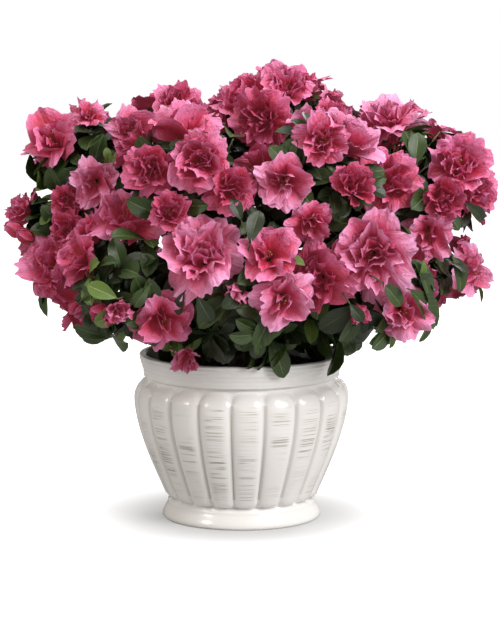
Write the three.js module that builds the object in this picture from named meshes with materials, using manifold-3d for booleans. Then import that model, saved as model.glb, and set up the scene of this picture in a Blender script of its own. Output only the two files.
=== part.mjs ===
// A double-flowered azalea shrub in a white gadrooned pot, in millimetres, +Z up. The origin is the centre of
// the pot's flat underside, and the front of the shrub faces -Y. The pot holds its potting mix, a short trunk
// stands on the mix, boughs fan out from the trunk, and each bough carries one mass of twigs, leaves and
// blooms.
import * as THREE from "three";
import { mergeVertices } from "three/addons/utils/BufferGeometryUtils.js";
import Module from "manifold-3d";

const wasm = await Module();
wasm.setup();

const SEAT_GAP = 0.3; // between pieces that rest on each other
const UP = new THREE.Vector3(0, 0, 1);

// The pot: a glazed bowl on a foot ring, with gadroons round its belly and a banded neck.
const POT_HEIGHT = 162;
const RIM_RADIUS = 102;
const NECK_RADIUS = 97.5;
const NECK_HEIGHT = 140;
const BELLY_RADIUS = 107.5;
const BELLY_HEIGHT = 120;
const WAIST_RADIUS = 74;
const WAIST_HEIGHT = 16;
const FOOT_RADIUS = 79.5;
const FOOT_HEIGHT = 5;
const UNDERSIDE_RADIUS = 76;
const WALL = 7;
const FLOOR = 8;
const GADROONS = 20;
const GADROON_DEPTH = 3.6;
const GADROON_TURN = -86.3; // degrees from +X to the middle of a gadroon
const STEPS_PER_GADROON = 4;

// The potting mix.
const MIX_HEIGHT = 152;
const MIX_CROWN = 3; // how far the mix rises above its edge
const TRUNK_SEAT_RADIUS = 16; // the level patch under the trunk
const MIX_SEGMENTS = 24;

// The trunk.
const TRUNK_TOP = 214;
const TRUNK_RADIUS = 9.5;
const TRUNK_TOP_RADIUS = 7.5;
const ROOT_FLARE = 4.5;
const TRUNK_LEAN = 5; // sideways travel of the trunk's top
const TRUNK_SIDES = 10;
const TRUNK_STEPS = 5;

// Boughs.
const BOUGH_RADII = { low: 3.3, upper: 3.8, top: 3.3 }; // at the trunk
const BOUGH_STARTS = { low: 0.22, upper: 0.5, top: 0.96 }; // of the way up the trunk
const BOUGH_STAGGER = 0.14; // how much farther up every second bough of the two rings starts
const BOUGH_TIP_RADIUS = 2.7;
const BOUGH_BEND = -0.4; // how far the end of a level bough turns down from the straight line to its mass
const BOUGH_PULL = 0.4; // the share of a bough's length over which it bends
const STEM_END = 0.12; // how far short of its mass's centre a stem ends, of the mass's reach
const BOUGH_SIDES = 5;
const BOUGH_STEPS = 3;
const TOP_SPREAD = 4.2; // from the trunk's middle to the foot of each of the top boughs

// Foliage.
const HUB = new THREE.Vector3(0, 0, 214); // the masses face away from this point
const CELL_GAP = 1; // kept free on each side of the border between two masses
const LIMB_GAP = 2.5; // kept free round a bough that passes a mass
const STEM_SLACK = 5; // kept free round a stem where its bough enters the mass
const STEM_RADIUS = 2.8;
const TWIG_RADIUS = 1.3;
const BLOOM_RADIUS = 34;
const BLOOM_DEPTH = 20; // from a bloom's face back to the foot of its tube
const BLOOM_SEAT = 0.56; // how far a bloom's face lies inside its mass's reach, of the bloom's radius
const BLOOM_SPACING = 0.74; // of the sum of two blooms' radii, between their middles
const BLOOM_TILT = 84; // degrees from the mass's axis to the last of its blooms
const BLOOM_DROOP = -0.45; // the lowest that a bloom looks: the height of the unit vector that it faces along
const BLOOM_SCALES = [1, 0.86, 0.72]; // tried in turn until a bloom fits its mass
const BLOOMS = 5; // at most, in a mass
const LEAFY_TWIGS = 3; // at most, in a mass, besides the twigs that carry blooms
const LEAFY_TILT = 58; // degrees from the mass's axis to the first of those twigs
const LEAFY_REACHES = [0.74, 0.52]; // of the mass's reach, tried in turn until such a twig is clear
const DIRECTIONS = 48; // tried in a mass, in a spiral round the axis that it faces along
const SPIRAL_TILTS = [26, 130]; // degrees from that axis to where the spiral starts and ends
const GOLDEN_TURN = 137.508; // degrees from one direction of the spiral to the next
const WHORL = 4; // leaves
const SEED_STEP = 7919; // spreads the masses' seeds
const LEAF_LENGTH = 44;
const LEAF_SCALES = [1, 0.75, 0.5];
const LEAF_WIDTH = 0.42; // of the leaf's length
const LEAF_WIDEST = 0.58; // of the way along the leaf
const LEAF_THICKNESS = 2.8; // at the whorl's middle: a leaf is under half as thick where it is widest
const LEAF_CLEARANCE = 0.3; // between two leaves, of a leaf's length
const STUB = 2.2; // how far the middle of a whorl reaches where a leaf is left out, of the twig's radius
const RIM_CLEARANCE = 4; // between the rim and the foliage over it
const SKIRT_RADIUS = 112; // outside this distance from the pot's axis foliage may hang beside the rim
const SKIRT_HEIGHT = 160; // the lowest foliage there
const SKIRT_SLOPE = 0.3; // how the crown's underside rises farther out

// The masses, by the azimuth from +X, the distance from the pot's axis and the height of their centres, and
// by their reach. The low ring carries the skirt over the rim, the upper ring the shoulders, and three the
// top. The seed turns a mass's blooms and leaves about.
const MASSES = [
  { name: "low_right", azimuth: -4, radius: 162, height: 236, reach: 84, seed: 43280 },
  { name: "low_front_right", azimuth: -46, radius: 148, height: 250, reach: 84, seed: 71290 },
  { name: "low_front", azimuth: -88, radius: 138, height: 254, reach: 84, seed: 97487 },
  { name: "low_front_left", azimuth: -131, radius: 150, height: 246, reach: 84, seed: 48426 },
  { name: "low_left", azimuth: -171, radius: 156, height: 274, reach: 84, seed: 97896 },
  { name: "low_back_left", azimuth: 144, radius: 150, height: 246, reach: 83, seed: 75290 },
  { name: "low_back", azimuth: 96, radius: 144, height: 244, reach: 83, seed: 63710 },
  { name: "low_back_right", azimuth: 46, radius: 152, height: 246, reach: 84, seed: 58531 },
  { name: "upper_right", azimuth: -9, radius: 160, height: 328, reach: 86, seed: 22938 },
  { name: "upper_front_right", azimuth: -58, radius: 124, height: 340, reach: 80, seed: 44732 },
  { name: "upper_front_left", azimuth: -112, radius: 118, height: 340, reach: 80, seed: 46768 },
  { name: "upper_left", azimuth: -170, radius: 143, height: 346, reach: 76, seed: 7845 },
  { name: "upper_back_left", azimuth: 138, radius: 130, height: 330, reach: 80, seed: 44994 },
  { name: "upper_back", azimuth: 88, radius: 124, height: 330, reach: 80, seed: 12139 },
  { name: "upper_back_right", azimuth: 40, radius: 136, height: 332, reach: 81, seed: 78185 },
  { name: "top_left", azimuth: -166, radius: 62, height: 358, reach: 74, seed: 31307 },
  { name: "top_right", azimuth: -46, radius: 56, height: 378, reach: 74, seed: 75449 },
  { name: "top_back", azimuth: 64, radius: 60, height: 366, reach: 75, seed: 109527 },
];

const radians = THREE.MathUtils.degToRad;

// A repeatable source of numbers between two limits.
function seeded(seed) {
  let state = seed;
  return (low, high) => {
    state = (state * 16807) % 2147483647;
    return low + ((high - low) * state) / 2147483647;
  };
}

function atAzimuth(azimuth, radius, height) {
  const turn = radians(azimuth);
  return new THREE.Vector3(radius * Math.cos(turn), radius * Math.sin(turn), height);
}

// A closed geometry as a manifold-3d solid, turned the right way out.
function solidOf(geometry) {
  const bare = new THREE.BufferGeometry().setAttribute("position", geometry.getAttribute("position"));
  bare.setIndex(geometry.index);
  const merged = mergeVertices(bare, 1e-4);
  const corners = [];
  for (let i = 0; i < merged.index.count; i += 3) {
    const [a, b, c] = [0, 1, 2].map((k) => merged.index.getX(i + k));
    if (a !== b && b !== c && a !== c) corners.push(a, b, c);
  }
  const asSolid = (order) =>
    new wasm.Manifold(
      new wasm.Mesh({
        numProp: 3,
        vertProperties: new Float32Array(merged.getAttribute("position").array),
        triVerts: new Uint32Array(order),
      }),
    );
  const solid = asSolid(corners);
  return solid.volume() > 0 ? solid : asSolid(corners.reverse());
}

// A manifold-3d solid as a named mesh.
function meshOf(name, solid, material) {
  const { vertProperties, triVerts, numProp } = solid.getMesh();
  const places = new Float32Array((vertProperties.length / numProp) * 3);
  for (let i = 0; i * numProp < vertProperties.length; i += 1) {
    places.set(vertProperties.subarray(i * numProp, i * numProp + 3), i * 3);
  }
  const geometry = new THREE.BufferGeometry()
    .setAttribute("position", new THREE.BufferAttribute(places, 3))
    .setIndex(new THREE.BufferAttribute(new Uint32Array(triVerts), 1));
  geometry.computeVertexNormals();
  const mesh = new THREE.Mesh(geometry, material);
  mesh.name = name;
  return mesh;
}

// The largest body of a solid, without the scraps that touch nothing.
function largestBody(solid) {
  return solid.decompose().reduce((largest, body) => (body.volume() > largest.volume() ? body : largest));
}

// A limb along a curve, round in section, with its radius given along the way.
function limb(curve, radiusAt, sides, steps) {
  const geometry = new THREE.CylinderGeometry(1, 1, 1, sides, steps);
  const place = geometry.getAttribute("position");
  for (let i = 0; i < place.count; i += 1) {
    const along = place.getY(i) + 0.5;
    const tangent = curve.getTangent(along);
    const side = new THREE.Vector3(0.31, 0.95, 0.05).cross(tangent).normalize();
    const front = new THREE.Vector3().crossVectors(tangent, side);
    const radius = radiusAt(along);
    const point = curve
      .getPoint(along)
      .addScaledVector(side, place.getX(i) * radius)
      .addScaledVector(front, place.getZ(i) * radius);
    place.setXYZ(i, point.x, point.y, point.z);
  }
  return geometry;
}

// How far the pot's wall stands in, at a share of a gadroon's half width (0 its middle, 1 the groove beside
// it) and at a height: the gadroons are round in section, and end in round arcs under the neck and above the
// foot.
function gadroonInset(share, height) {
  const bulge = Math.sqrt(1 - Math.min(1, share * share * 0.96));
  const shoulder = 134 - 8 * (1 - bulge);
  const heel = 19 + 3 * (1 - bulge);
  const top = THREE.MathUtils.smoothstep(shoulder - height, 0, 14);
  const bottom = THREE.MathUtils.smoothstep(height - heel, 0, 6);
  return GADROON_DEPTH * (1 - bulge * Math.min(top, bottom));
}

function potProfile() {
  const belly = new THREE.CubicBezierCurve(
    new THREE.Vector2(BELLY_RADIUS, BELLY_HEIGHT),
    new THREE.Vector2(BELLY_RADIUS - 1, BELLY_HEIGHT - 34),
    new THREE.Vector2(WAIST_RADIUS + 11, WAIST_HEIGHT + 28),
    new THREE.Vector2(WAIST_RADIUS + 1, WAIST_HEIGHT + 4),
  );
  const outside = [
    [0, 0],
    [UNDERSIDE_RADIUS, 0],
    [FOOT_RADIUS, FOOT_HEIGHT],
    [WAIST_RADIUS, WAIST_HEIGHT],
    ...belly.getPoints(3).map(({ x, y }) => [x, y]).reverse(),
    [BELLY_RADIUS - 2.4, BELLY_HEIGHT + 9],
    [NECK_RADIUS, NECK_HEIGHT],
    [RIM_RADIUS, POT_HEIGHT - 1],
    [RIM_RADIUS - 1.5, POT_HEIGHT],
  ];
  const inside = [
    [RIM_RADIUS - WALL, POT_HEIGHT],
    [NECK_RADIUS - WALL - 1, NECK_HEIGHT],
    [BELLY_RADIUS - WALL - GADROON_DEPTH, BELLY_HEIGHT - 4],
    [WAIST_RADIUS - WALL, WAIST_HEIGHT + FLOOR],
    [WAIST_RADIUS - 2 * WALL, FLOOR],
    [0, FLOOR],
  ];
  return { outside, inside };
}

function makePot() {
  const { outside, inside } = potProfile();
  const profile = [...outside, ...inside].map(([radius, height]) => new THREE.Vector2(radius, height));
  const geometry = new THREE.LatheGeometry(profile, GADROONS * STEPS_PER_GADROON);
  const place = geometry.getAttribute("position");
  for (let i = 0; i < place.count; i += 1) {
    const [x, height, z] = [place.getX(i), place.getY(i), place.getZ(i)];
    const radius = Math.hypot(x, z);
    const row = i % profile.length;
    const step = Math.round(i / profile.length - row / profile.length) % (GADROONS * STEPS_PER_GADROON);
    const share = Math.abs(((step / STEPS_PER_GADROON) % 1) - 0.5) * 2;
    const gadrooned = row < outside.length && height > WAIST_HEIGHT && height < NECK_HEIGHT;
    const turned = radius - (gadrooned ? gadroonInset(1 - share, height) : 0);
    const turn = radians(GADROON_TURN) + (step / STEPS_PER_GADROON) * ((2 * Math.PI) / GADROONS);
    place.setXYZ(i, turned * Math.cos(turn), turned * Math.sin(turn), height);
  }
  return geometry;
}

// The potting mix fills the pot to below the rim, a seat gap clear of it, level under the trunk and a little
// uneven round it.
function makeMix() {
  const { inside } = potProfile();
  const wall = new THREE.Path(inside.map(([radius, height]) => new THREE.Vector2(radius, height)));
  const radiusAt = (height) => {
    const points = wall.getPoints();
    const next = points.findIndex((point) => point.y <= height);
    const [high, low] = [points[next - 1], points[next]];
    return THREE.MathUtils.mapLinear(height, low.y, high.y, low.x, high.x);
  };
  const slack = SEAT_GAP + 0.2; // a faceted wall stands in a little between its corners
  const edge = MIX_HEIGHT - MIX_CROWN;
  const profile = [
    [0, FLOOR + SEAT_GAP],
    [WAIST_RADIUS - 2 * WALL - slack, FLOOR + SEAT_GAP],
    [WAIST_RADIUS - WALL - slack, WAIST_HEIGHT + FLOOR],
    [BELLY_RADIUS - WALL - GADROON_DEPTH - slack, BELLY_HEIGHT - 4],
    [NECK_RADIUS - WALL - 1 - slack, NECK_HEIGHT],
    [radiusAt(edge) - slack, edge],
    [56, MIX_HEIGHT - 0.5],
    [TRUNK_SEAT_RADIUS, MIX_HEIGHT],
    [0, MIX_HEIGHT],
  ].map(([radius, height]) => new THREE.Vector2(radius, height));
  const geometry = new THREE.LatheGeometry(profile, MIX_SEGMENTS);
  const place = geometry.getAttribute("position");
  for (let i = 0; i < place.count; i += 1) {
    const [x, height, y] = [place.getX(i), place.getY(i), place.getZ(i)];
    const radius = Math.hypot(x, y);
    const loose = height > edge + 0.1 && radius > TRUNK_SEAT_RADIUS + 1;
    const heave = loose ? 1.6 * Math.sin(x * 0.09 + 1) * Math.cos(y * 0.11) : 0;
    const turn = Math.atan2(y, x) + radians(GADROON_TURN);
    place.setXYZ(i, radius * Math.cos(turn), radius * Math.sin(turn), height + heave);
  }
  return geometry;
}

// The trunk's middle line, from the flat cut on the potting mix to its fork.
const trunkLine = new THREE.QuadraticBezierCurve3(
  new THREE.Vector3(0, 0, MIX_HEIGHT + SEAT_GAP),
  new THREE.Vector3(0, 0, (MIX_HEIGHT + TRUNK_TOP) / 2),
  new THREE.Vector3(TRUNK_LEAN, -TRUNK_LEAN / 2, TRUNK_TOP),
);

function makeTrunk(growth = 0) {
  const radiusAt = (along) =>
    THREE.MathUtils.lerp(TRUNK_RADIUS, TRUNK_TOP_RADIUS, along) + ROOT_FLARE * (1 - along) ** 6 + growth;
  const geometry = limb(trunkLine, radiusAt, TRUNK_SIDES, TRUNK_STEPS);
  const place = geometry.getAttribute("position");
  for (let i = 0; i < place.count; i += 1) {
    if (place.getZ(i) < MIX_HEIGHT + 1) place.setZ(i, MIX_HEIGHT + SEAT_GAP - growth);
  }
  return geometry;
}

// Each mass gets its centre, the axis that it faces along, and the point where its bough leaves the trunk.
// Boughs leave the trunk higher up the higher their mass is, in turn at two heights a ring, and the top ones
// stand side by side on the fork.
function laidOut(mass, index) {
  const [ring] = mass.name.split("_");
  const centre = atAzimuth(mass.azimuth, mass.radius, mass.height);
  const axis = centre.clone().sub(HUB).normalize();
  const stagger = ring !== "top" && index % 2 ? BOUGH_STAGGER : 0;
  const start = trunkLine.getPoint(BOUGH_STARTS[ring] + stagger);
  if (ring === "top") start.add(atAzimuth(mass.azimuth, TOP_SPREAD, 0));
  return { ...mass, ring, random: seeded(SEED_STEP * mass.seed), centre, axis, start };
}

const masses = MASSES.map(laidOut);

// Whether a point lies in a mass's own space: nearer to it than to any other mass, by their reaches, inside
// its reach, and above the crown's underside.
function inSpace(mass, point, slack = 0) {
  const own = point.distanceToSquared(mass.centre) - mass.reach ** 2;
  if (point.distanceTo(mass.centre) > mass.reach - slack) return false;
  const beyond = Math.hypot(point.x, point.y) - SKIRT_RADIUS;
  const lowest = beyond < 0 ? POT_HEIGHT + RIM_CLEARANCE : SKIRT_HEIGHT + SKIRT_SLOPE * beyond;
  if (point.z < lowest + slack) return false;
  return masses.every((other) => {
    if (other === mass) return true;
    const theirs = point.distanceToSquared(other.centre) - other.reach ** 2;
    return theirs - own > 2 * (CELL_GAP + slack) * other.centre.distanceTo(mass.centre);
  });
}

// A bough leaves the trunk and bends into the line of its mass's stem, which ends near the mass's centre. The
// bough ends where it enters the mass.
for (const mass of masses) {
  const towards = mass.centre.clone().sub(mass.start).normalize();
  mass.heading = towards.addScaledVector(UP, BOUGH_BEND * (1 - towards.z)).normalize();
  const stemAt = (length) => mass.centre.clone().addScaledVector(mass.heading, -length);
  let length = 0;
  while (length < 0.8 * mass.reach && inSpace(mass, stemAt(length + 1), STEM_SLACK)) length += 1;
  mass.entry = stemAt(length);
  mass.stemTip = stemAt(STEM_END * mass.reach);
  const pull = BOUGH_PULL * mass.start.distanceTo(mass.entry);
  mass.bough = new THREE.QuadraticBezierCurve3(
    mass.start,
    mass.entry.clone().addScaledVector(mass.heading, -pull),
    mass.entry.clone().addScaledVector(mass.heading, -SEAT_GAP),
  );
}

function barkAt(mass, along) {
  return THREE.MathUtils.lerp(BOUGH_RADII[mass.ring], BOUGH_TIP_RADIUS, along);
}

// Whether a point is clear of the boughs that carry the other masses.
function clearOfLimbs(mass, point) {
  const steps = 16;
  return masses.every((other) => {
    if (other === mass) return true;
    for (let step = 0; step <= steps; step += 1) {
      const along = step / steps;
      if (other.bough.getPoint(along).distanceTo(point) < barkAt(other, along) + LIMB_GAP) return false;
    }
    return true;
  });
}

function fits(mass, points) {
  return points.every((point) => inSpace(mass, point) && clearOfLimbs(mass, point));
}

// Points evenly spread along a straight line, with both ends.
function alongLine(from, to, count) {
  return Array.from({ length: count + 1 }, (_, i) => from.clone().lerp(to, i / count));
}

// Stitches rings of points round one axis into a closed shell, each point to the nearest ones in azimuth. The
// first and the last ring are a point each.
function shellOfRings(rings) {
  const corners = [];
  let low = 0;
  rings.slice(0, -1).forEach((ring, n) => {
    const next = rings[n + 1];
    const high = low + ring.length;
    let [i, j] = [0, 0];
    while (i < ring.length || j < next.length) {
      const lower = [low + (i % ring.length), low + ((i + 1) % ring.length)];
      const upper = [high + (j % next.length), high + ((j + 1) % next.length)];
      if (j >= next.length || (i < ring.length && (i + 0.5) / ring.length <= (j + 0.5) / next.length)) {
        if (ring.length > 1) corners.push(lower[0], lower[1], upper[0]);
        i += 1;
      } else {
        if (next.length > 1) corners.push(lower[0], upper[1], upper[0]);
        j += 1;
      }
    }
    low = high;
  });
  return new THREE.BufferGeometry().setFromPoints(rings.flat()).setIndex(corners);
}

// A frame that stands at a point and looks along a direction. It gives the point at an azimuth, a distance
// from the direction's line and a height along it.
function frameAt(point, along, turn) {
  const side = new THREE.Vector3(0.3, 0.2, 1).cross(along).normalize();
  const front = new THREE.Vector3().crossVectors(along, side);
  return (azimuth, distance, height) =>
    point
      .clone()
      .addScaledVector(side, distance * Math.cos(radians(azimuth + turn)))
      .addScaledVector(front, distance * Math.sin(radians(azimuth + turn)))
      .addScaledVector(along, height);
}

const steady = (value) => () => value;

// A ring of points, with their distances and heights given point by point.
function ringOf(frame, count, distanceAt, heightAt, turn = 0) {
  return Array.from({ length: count }, (_, i) => frame((360 / count) * i + turn, distanceAt(i), heightAt(i)));
}

// A leaf's edge, from its widest place round its tip to its widest place on the other side.
function blade(frame, azimuth, length, rise, droop) {
  const half = THREE.MathUtils.radToDeg(Math.atan(LEAF_WIDTH / 2 / LEAF_WIDEST));
  const wide = Math.hypot(LEAF_WIDEST, LEAF_WIDTH / 2) * length;
  const lift = LEAF_WIDEST * length * rise;
  return [
    frame(azimuth - half, wide, lift),
    frame(azimuth, length, length * (rise - droop)),
    frame(azimuth + half, wide, lift),
  ];
}

// The edge of a whorl of leaves: from the notch between two leaves out along each leaf and back. A leaf that
// would leave its mass's space, touch a bough, or run into a bloom or a leaf is tried shorter, and then left
// out.
function whorlEdge(mass, frame, blooms, lean) {
  const slot = 360 / WHORL;
  const awayFrom = (middle, distance, points) => points.every((point) => point.distanceTo(middle) > distance);
  const free = (points) =>
    fits(mass, points) &&
    blooms.every((bloom) => awayFrom(bloom.middle, 0.8 * bloom.radius, points)) &&
    mass.leaves.every((leaf) => awayFrom(leaf, LEAF_CLEARANCE * LEAF_LENGTH, points));
  return Array.from({ length: WHORL }, (_, i) => {
    const azimuth = slot * (i + 0.5) + mass.random(-11, 11);
    const rise = Math.tan(radians(90 - lean - mass.random(-9, 9)));
    const droop = mass.random(0.02, 0.2);
    const length = LEAF_LENGTH * mass.random(0.84, 1.08);
    const blades = LEAF_SCALES.map((scale) => blade(frame, azimuth, length * scale, rise, droop));
    const found = blades.find((points) => free([...points, points[0].clone().lerp(points[2], 0.5)]));
    if (found) mass.leaves.push(found[0].clone().lerp(found[2], 0.5));
    const stub = [-20, 0, 20].map((step) => frame(azimuth + step, TWIG_RADIUS * STUB, 0.2));
    return [frame(slot * i, TWIG_RADIUS * STUB, 0.4), ...(found ?? stub)];
  }).flat();
}

// A twig from its root to its whorl of leaves. It ends there, or it goes on into a double bloom: a tube that
// opens into five ruffled outer petals, with five shorter ones standing in their middle, between the outer
// ones.
function spray(mass, blooms, root, foot, facing, lean, radius) {
  const along = foot.clone().sub(root).normalize();
  const turn = mass.random(0, 90);
  const twig = frameAt(root, along, turn);
  const head = frameAt(foot, facing, turn);
  const rings = [
    [root],
    ringOf(twig, 3, steady(TWIG_RADIUS), steady(0.5)),
    ringOf(frameAt(foot, along, turn), 3, steady(TWIG_RADIUS), steady(-LEAF_THICKNESS / 2)),
    whorlEdge(mass, head, blooms, lean),
  ];
  if (radius) {
    const ruffled = (share, ruffle) => () => radius * share * mass.random(1 - ruffle, 1 + ruffle);
    const face = (share, ruffle) => () => BLOOM_DEPTH + radius * (share + mass.random(-ruffle, ruffle));
    rings.push(
      ringOf(head, 5, steady(TWIG_RADIUS * 1.9), steady(LEAF_THICKNESS)), // the tube's foot
      ringOf(head, 10, (i) => radius * (i % 2 ? 0.76 : 1) * mass.random(0.94, 1.06), face(0.1, 0.06)),
      ringOf(head, 5, ruffled(0.52, 0.04), face(0.14, 0.02)), // the outer petals' feet
      ringOf(head, 5, ruffled(0.5, 0.12), face(0.5, 0.06), 36), // the inner petals' tips
      [head(0, 0, BLOOM_DEPTH + radius * 0.14)],
    );
  } else {
    rings.push([head(0, 0, LEAF_THICKNESS / 2)]);
  }
  return shellOfRings(rings);
}

// The directions that a mass tries for its blooms and twigs, in a spiral round the axis that it faces along.
function spiral(mass) {
  const side = new THREE.Vector3(0.2, 0.1, 1).cross(mass.axis).normalize();
  const turn = mass.random(0, 360);
  return Array.from({ length: DIRECTIONS }, (_, i) => {
    const around = side.clone().applyAxisAngle(mass.axis, radians(turn + GOLDEN_TURN * i));
    const tilt = THREE.MathUtils.lerp(...SPIRAL_TILTS, i / DIRECTIONS);
    return { tilt, facing: mass.axis.clone().applyAxisAngle(around, radians(tilt)) };
  });
}

// The blooms of a mass stand on its outer side, as many as fit without crowding.
function bloomPlaces(mass, directions) {
  const places = [];
  for (const { tilt, facing } of directions) {
    const size = BLOOM_RADIUS * mass.random(0.9, 1.04);
    if (tilt > BLOOM_TILT || facing.z < BLOOM_DROOP || places.length >= BLOOMS) continue;
    for (const scale of BLOOM_SCALES) {
      const radius = size * scale;
      const middle = mass.centre.clone().addScaledVector(facing, mass.reach - BLOOM_SEAT * radius);
      const rim = ringOf(frameAt(middle, facing, 0), 8, steady(radius * 0.98), steady(radius * 0.2));
      const apart = places.every(
        (other) => other.middle.distanceTo(middle) > BLOOM_SPACING * (other.radius + radius),
      );
      if (apart && fits(mass, [...rim, middle])) {
        places.push({ facing, radius, middle });
        break;
      }
    }
  }
  return places;
}

// The straight stem that the twigs of a mass branch from.
function makeStem({ entry, stemTip }) {
  const length = entry.distanceTo(stemTip);
  const frame = frameAt(entry, stemTip.clone().sub(entry).normalize(), 0);
  const ring = (height, radius) => ringOf(frame, 4, steady(radius), steady(height));
  return shellOfRings([[entry], ring(0.01, STEM_RADIUS), ring(length, STEM_RADIUS * 0.9), [stemTip]]);
}

// The leafy twigs between and under the blooms, as far out as they go without crossing a bloom.
function leafySprays(mass, directions, blooms) {
  const sprays = [];
  const feet = [];
  for (const { tilt, facing } of directions) {
    if (tilt < LEAFY_TILT || feet.length >= LEAFY_TWIGS) continue;
    const root = mass.entry.clone().lerp(mass.stemTip, mass.random(0.4, 0.95));
    const tipAt = (share) => mass.centre.clone().addScaledVector(facing, mass.reach * share);
    const foot = LEAFY_REACHES.map(tipAt).find((tip) => {
      const line = alongLine(root, tip, 8);
      const clear = blooms.every((bloom) => line.every((p) => p.distanceTo(bloom.middle) > bloom.radius));
      return clear && fits(mass, line) && feet.every((other) => other.distanceTo(tip) > 0.9 * LEAF_LENGTH);
    });
    if (!foot) continue;
    const along = foot.clone().sub(root).normalize();
    sprays.push(spray(mass, blooms, root, foot, along, mass.random(50, 66), 0));
    feet.push(foot);
  }
  return sprays;
}

// One mass: its stem, a twig with a whorl of leaves to each bloom, and leafy twigs.
function makeMass(mass) {
  mass.leaves = [];
  const directions = spiral(mass);
  const blooms = bloomPlaces(mass, directions);
  const shells = [makeStem(mass)];
  for (const bloom of blooms) {
    const root = mass.entry.clone().lerp(mass.stemTip, mass.random(0.4, 0.95));
    const foot = bloom.middle.clone().addScaledVector(bloom.facing, -BLOOM_DEPTH);
    if (!fits(mass, alongLine(root, foot, 8))) continue;
    const others = blooms.filter((other) => other !== bloom);
    shells.push(spray(mass, others, root, foot, bloom.facing, mass.random(64, 78), bloom.radius));
  }
  shells.push(...leafySprays(mass, directions, blooms));
  return largestBody(shells.map(solidOf).reduce((all, next) => all.add(next)));
}

const glaze = new THREE.MeshStandardMaterial({ color: "#e9e6e1", roughness: 0.18, metalness: 0 });
const peat = new THREE.MeshStandardMaterial({ color: "#241a13", roughness: 0.95, metalness: 0 });
const bark = new THREE.MeshStandardMaterial({ color: "#5b4636", roughness: 0.85, metalness: 0 });
const foliage = new THREE.MeshStandardMaterial({ color: "#c9527f", roughness: 0.6, metalness: 0 });

const shrub = new THREE.Group();
const trunkSeat = solidOf(makeTrunk(SEAT_GAP));
shrub.add(meshOf("pot", solidOf(makePot()), glaze));
shrub.add(meshOf("potting_mix", solidOf(makeMix()), peat));
shrub.add(meshOf("trunk", solidOf(makeTrunk()), bark));
for (const mass of masses) {
  const bough = limb(mass.bough, (along) => barkAt(mass, along), BOUGH_SIDES, BOUGH_STEPS);
  shrub.add(meshOf(`bough_${mass.name}`, largestBody(solidOf(bough).subtract(trunkSeat)), bark));
  shrub.add(meshOf(`foliage_${mass.name}`, makeMass(mass), foliage));
}

export default shrub;
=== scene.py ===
"""A double-flowered azalea shrub in a white gadrooned pot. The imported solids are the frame: the pot, its
potting mix and the trunk stand where they do there, and each mass of foliage grows again by its own rule,
now with whole blooms, whorls of leaves and finer twigs."""
import math

import bmesh
import bpy
import numpy as np
from mathutils import Matrix, Vector


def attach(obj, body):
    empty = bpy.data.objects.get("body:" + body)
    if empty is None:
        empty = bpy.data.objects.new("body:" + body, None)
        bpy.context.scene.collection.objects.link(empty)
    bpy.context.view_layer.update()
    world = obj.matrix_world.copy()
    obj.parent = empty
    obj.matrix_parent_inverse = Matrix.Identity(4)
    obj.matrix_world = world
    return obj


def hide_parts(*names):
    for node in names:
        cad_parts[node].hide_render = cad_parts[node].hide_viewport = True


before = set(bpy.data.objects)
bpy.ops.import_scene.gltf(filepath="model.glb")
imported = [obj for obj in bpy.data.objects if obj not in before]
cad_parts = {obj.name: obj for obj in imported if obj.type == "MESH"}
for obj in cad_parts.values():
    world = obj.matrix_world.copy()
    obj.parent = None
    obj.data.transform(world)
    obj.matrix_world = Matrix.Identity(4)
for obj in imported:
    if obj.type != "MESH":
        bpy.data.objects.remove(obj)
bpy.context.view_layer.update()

# The pot. A bowl of white-glazed earthenware, thrown on the wheel, with broad gadroons from its shoulder to
# its foot ring and a ridged neck. Its outline is spun round the pot's axis and the grooves are pressed in
# after. Lengths are millimetres, here and below, until a mesh is made.
MM = 0.001
POT_HEIGHT = 166
RIM_RADIUS = 102
NECK_RADIUS = 97.8
NECK_HEIGHT = 143.5
BELLY_RADIUS = 107.5
BELLY_HEIGHT = 120
WAIST_RADIUS = 74
WAIST_HEIGHT = 17
FOOT_RADIUS = 79.5
WALL = 7
FLOOR = 8
GADROONS = 20
GADROON_DEPTH = 6.2
GADROON_TURN = -86.3  # degrees from +X to the middle of a gadroon
GADROON_TOP = 141
GADROON_FOOT = 18.5
TOP_ROUNDING = 10  # how much lower a gadroon ends at its sides than on its crest
FOOT_ROUNDING = 5
SQUARENESS = 2.7  # 2 gives a gadroon a round section, and more a flatter one
STEPS_PER_GADROON = 20
RIDGE_PITCH = 4.3
RIDGE_DEPTH = 0.28


def smooth_step(value, low, high):
    share = min(1, max(0, (value - low) / (high - low)))
    return share * share * (3 - 2 * share)


def bezier(corners, steps):
    """Points along a Bezier curve of any order, its corners given in order."""
    points = []
    for step in range(steps + 1):
        level = [np.array(corner, float) for corner in corners]
        while len(level) > 1:
            level = [a + (b - a) * step / steps for a, b in zip(level, level[1:])]
        points.append(level[0])
    return points


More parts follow.
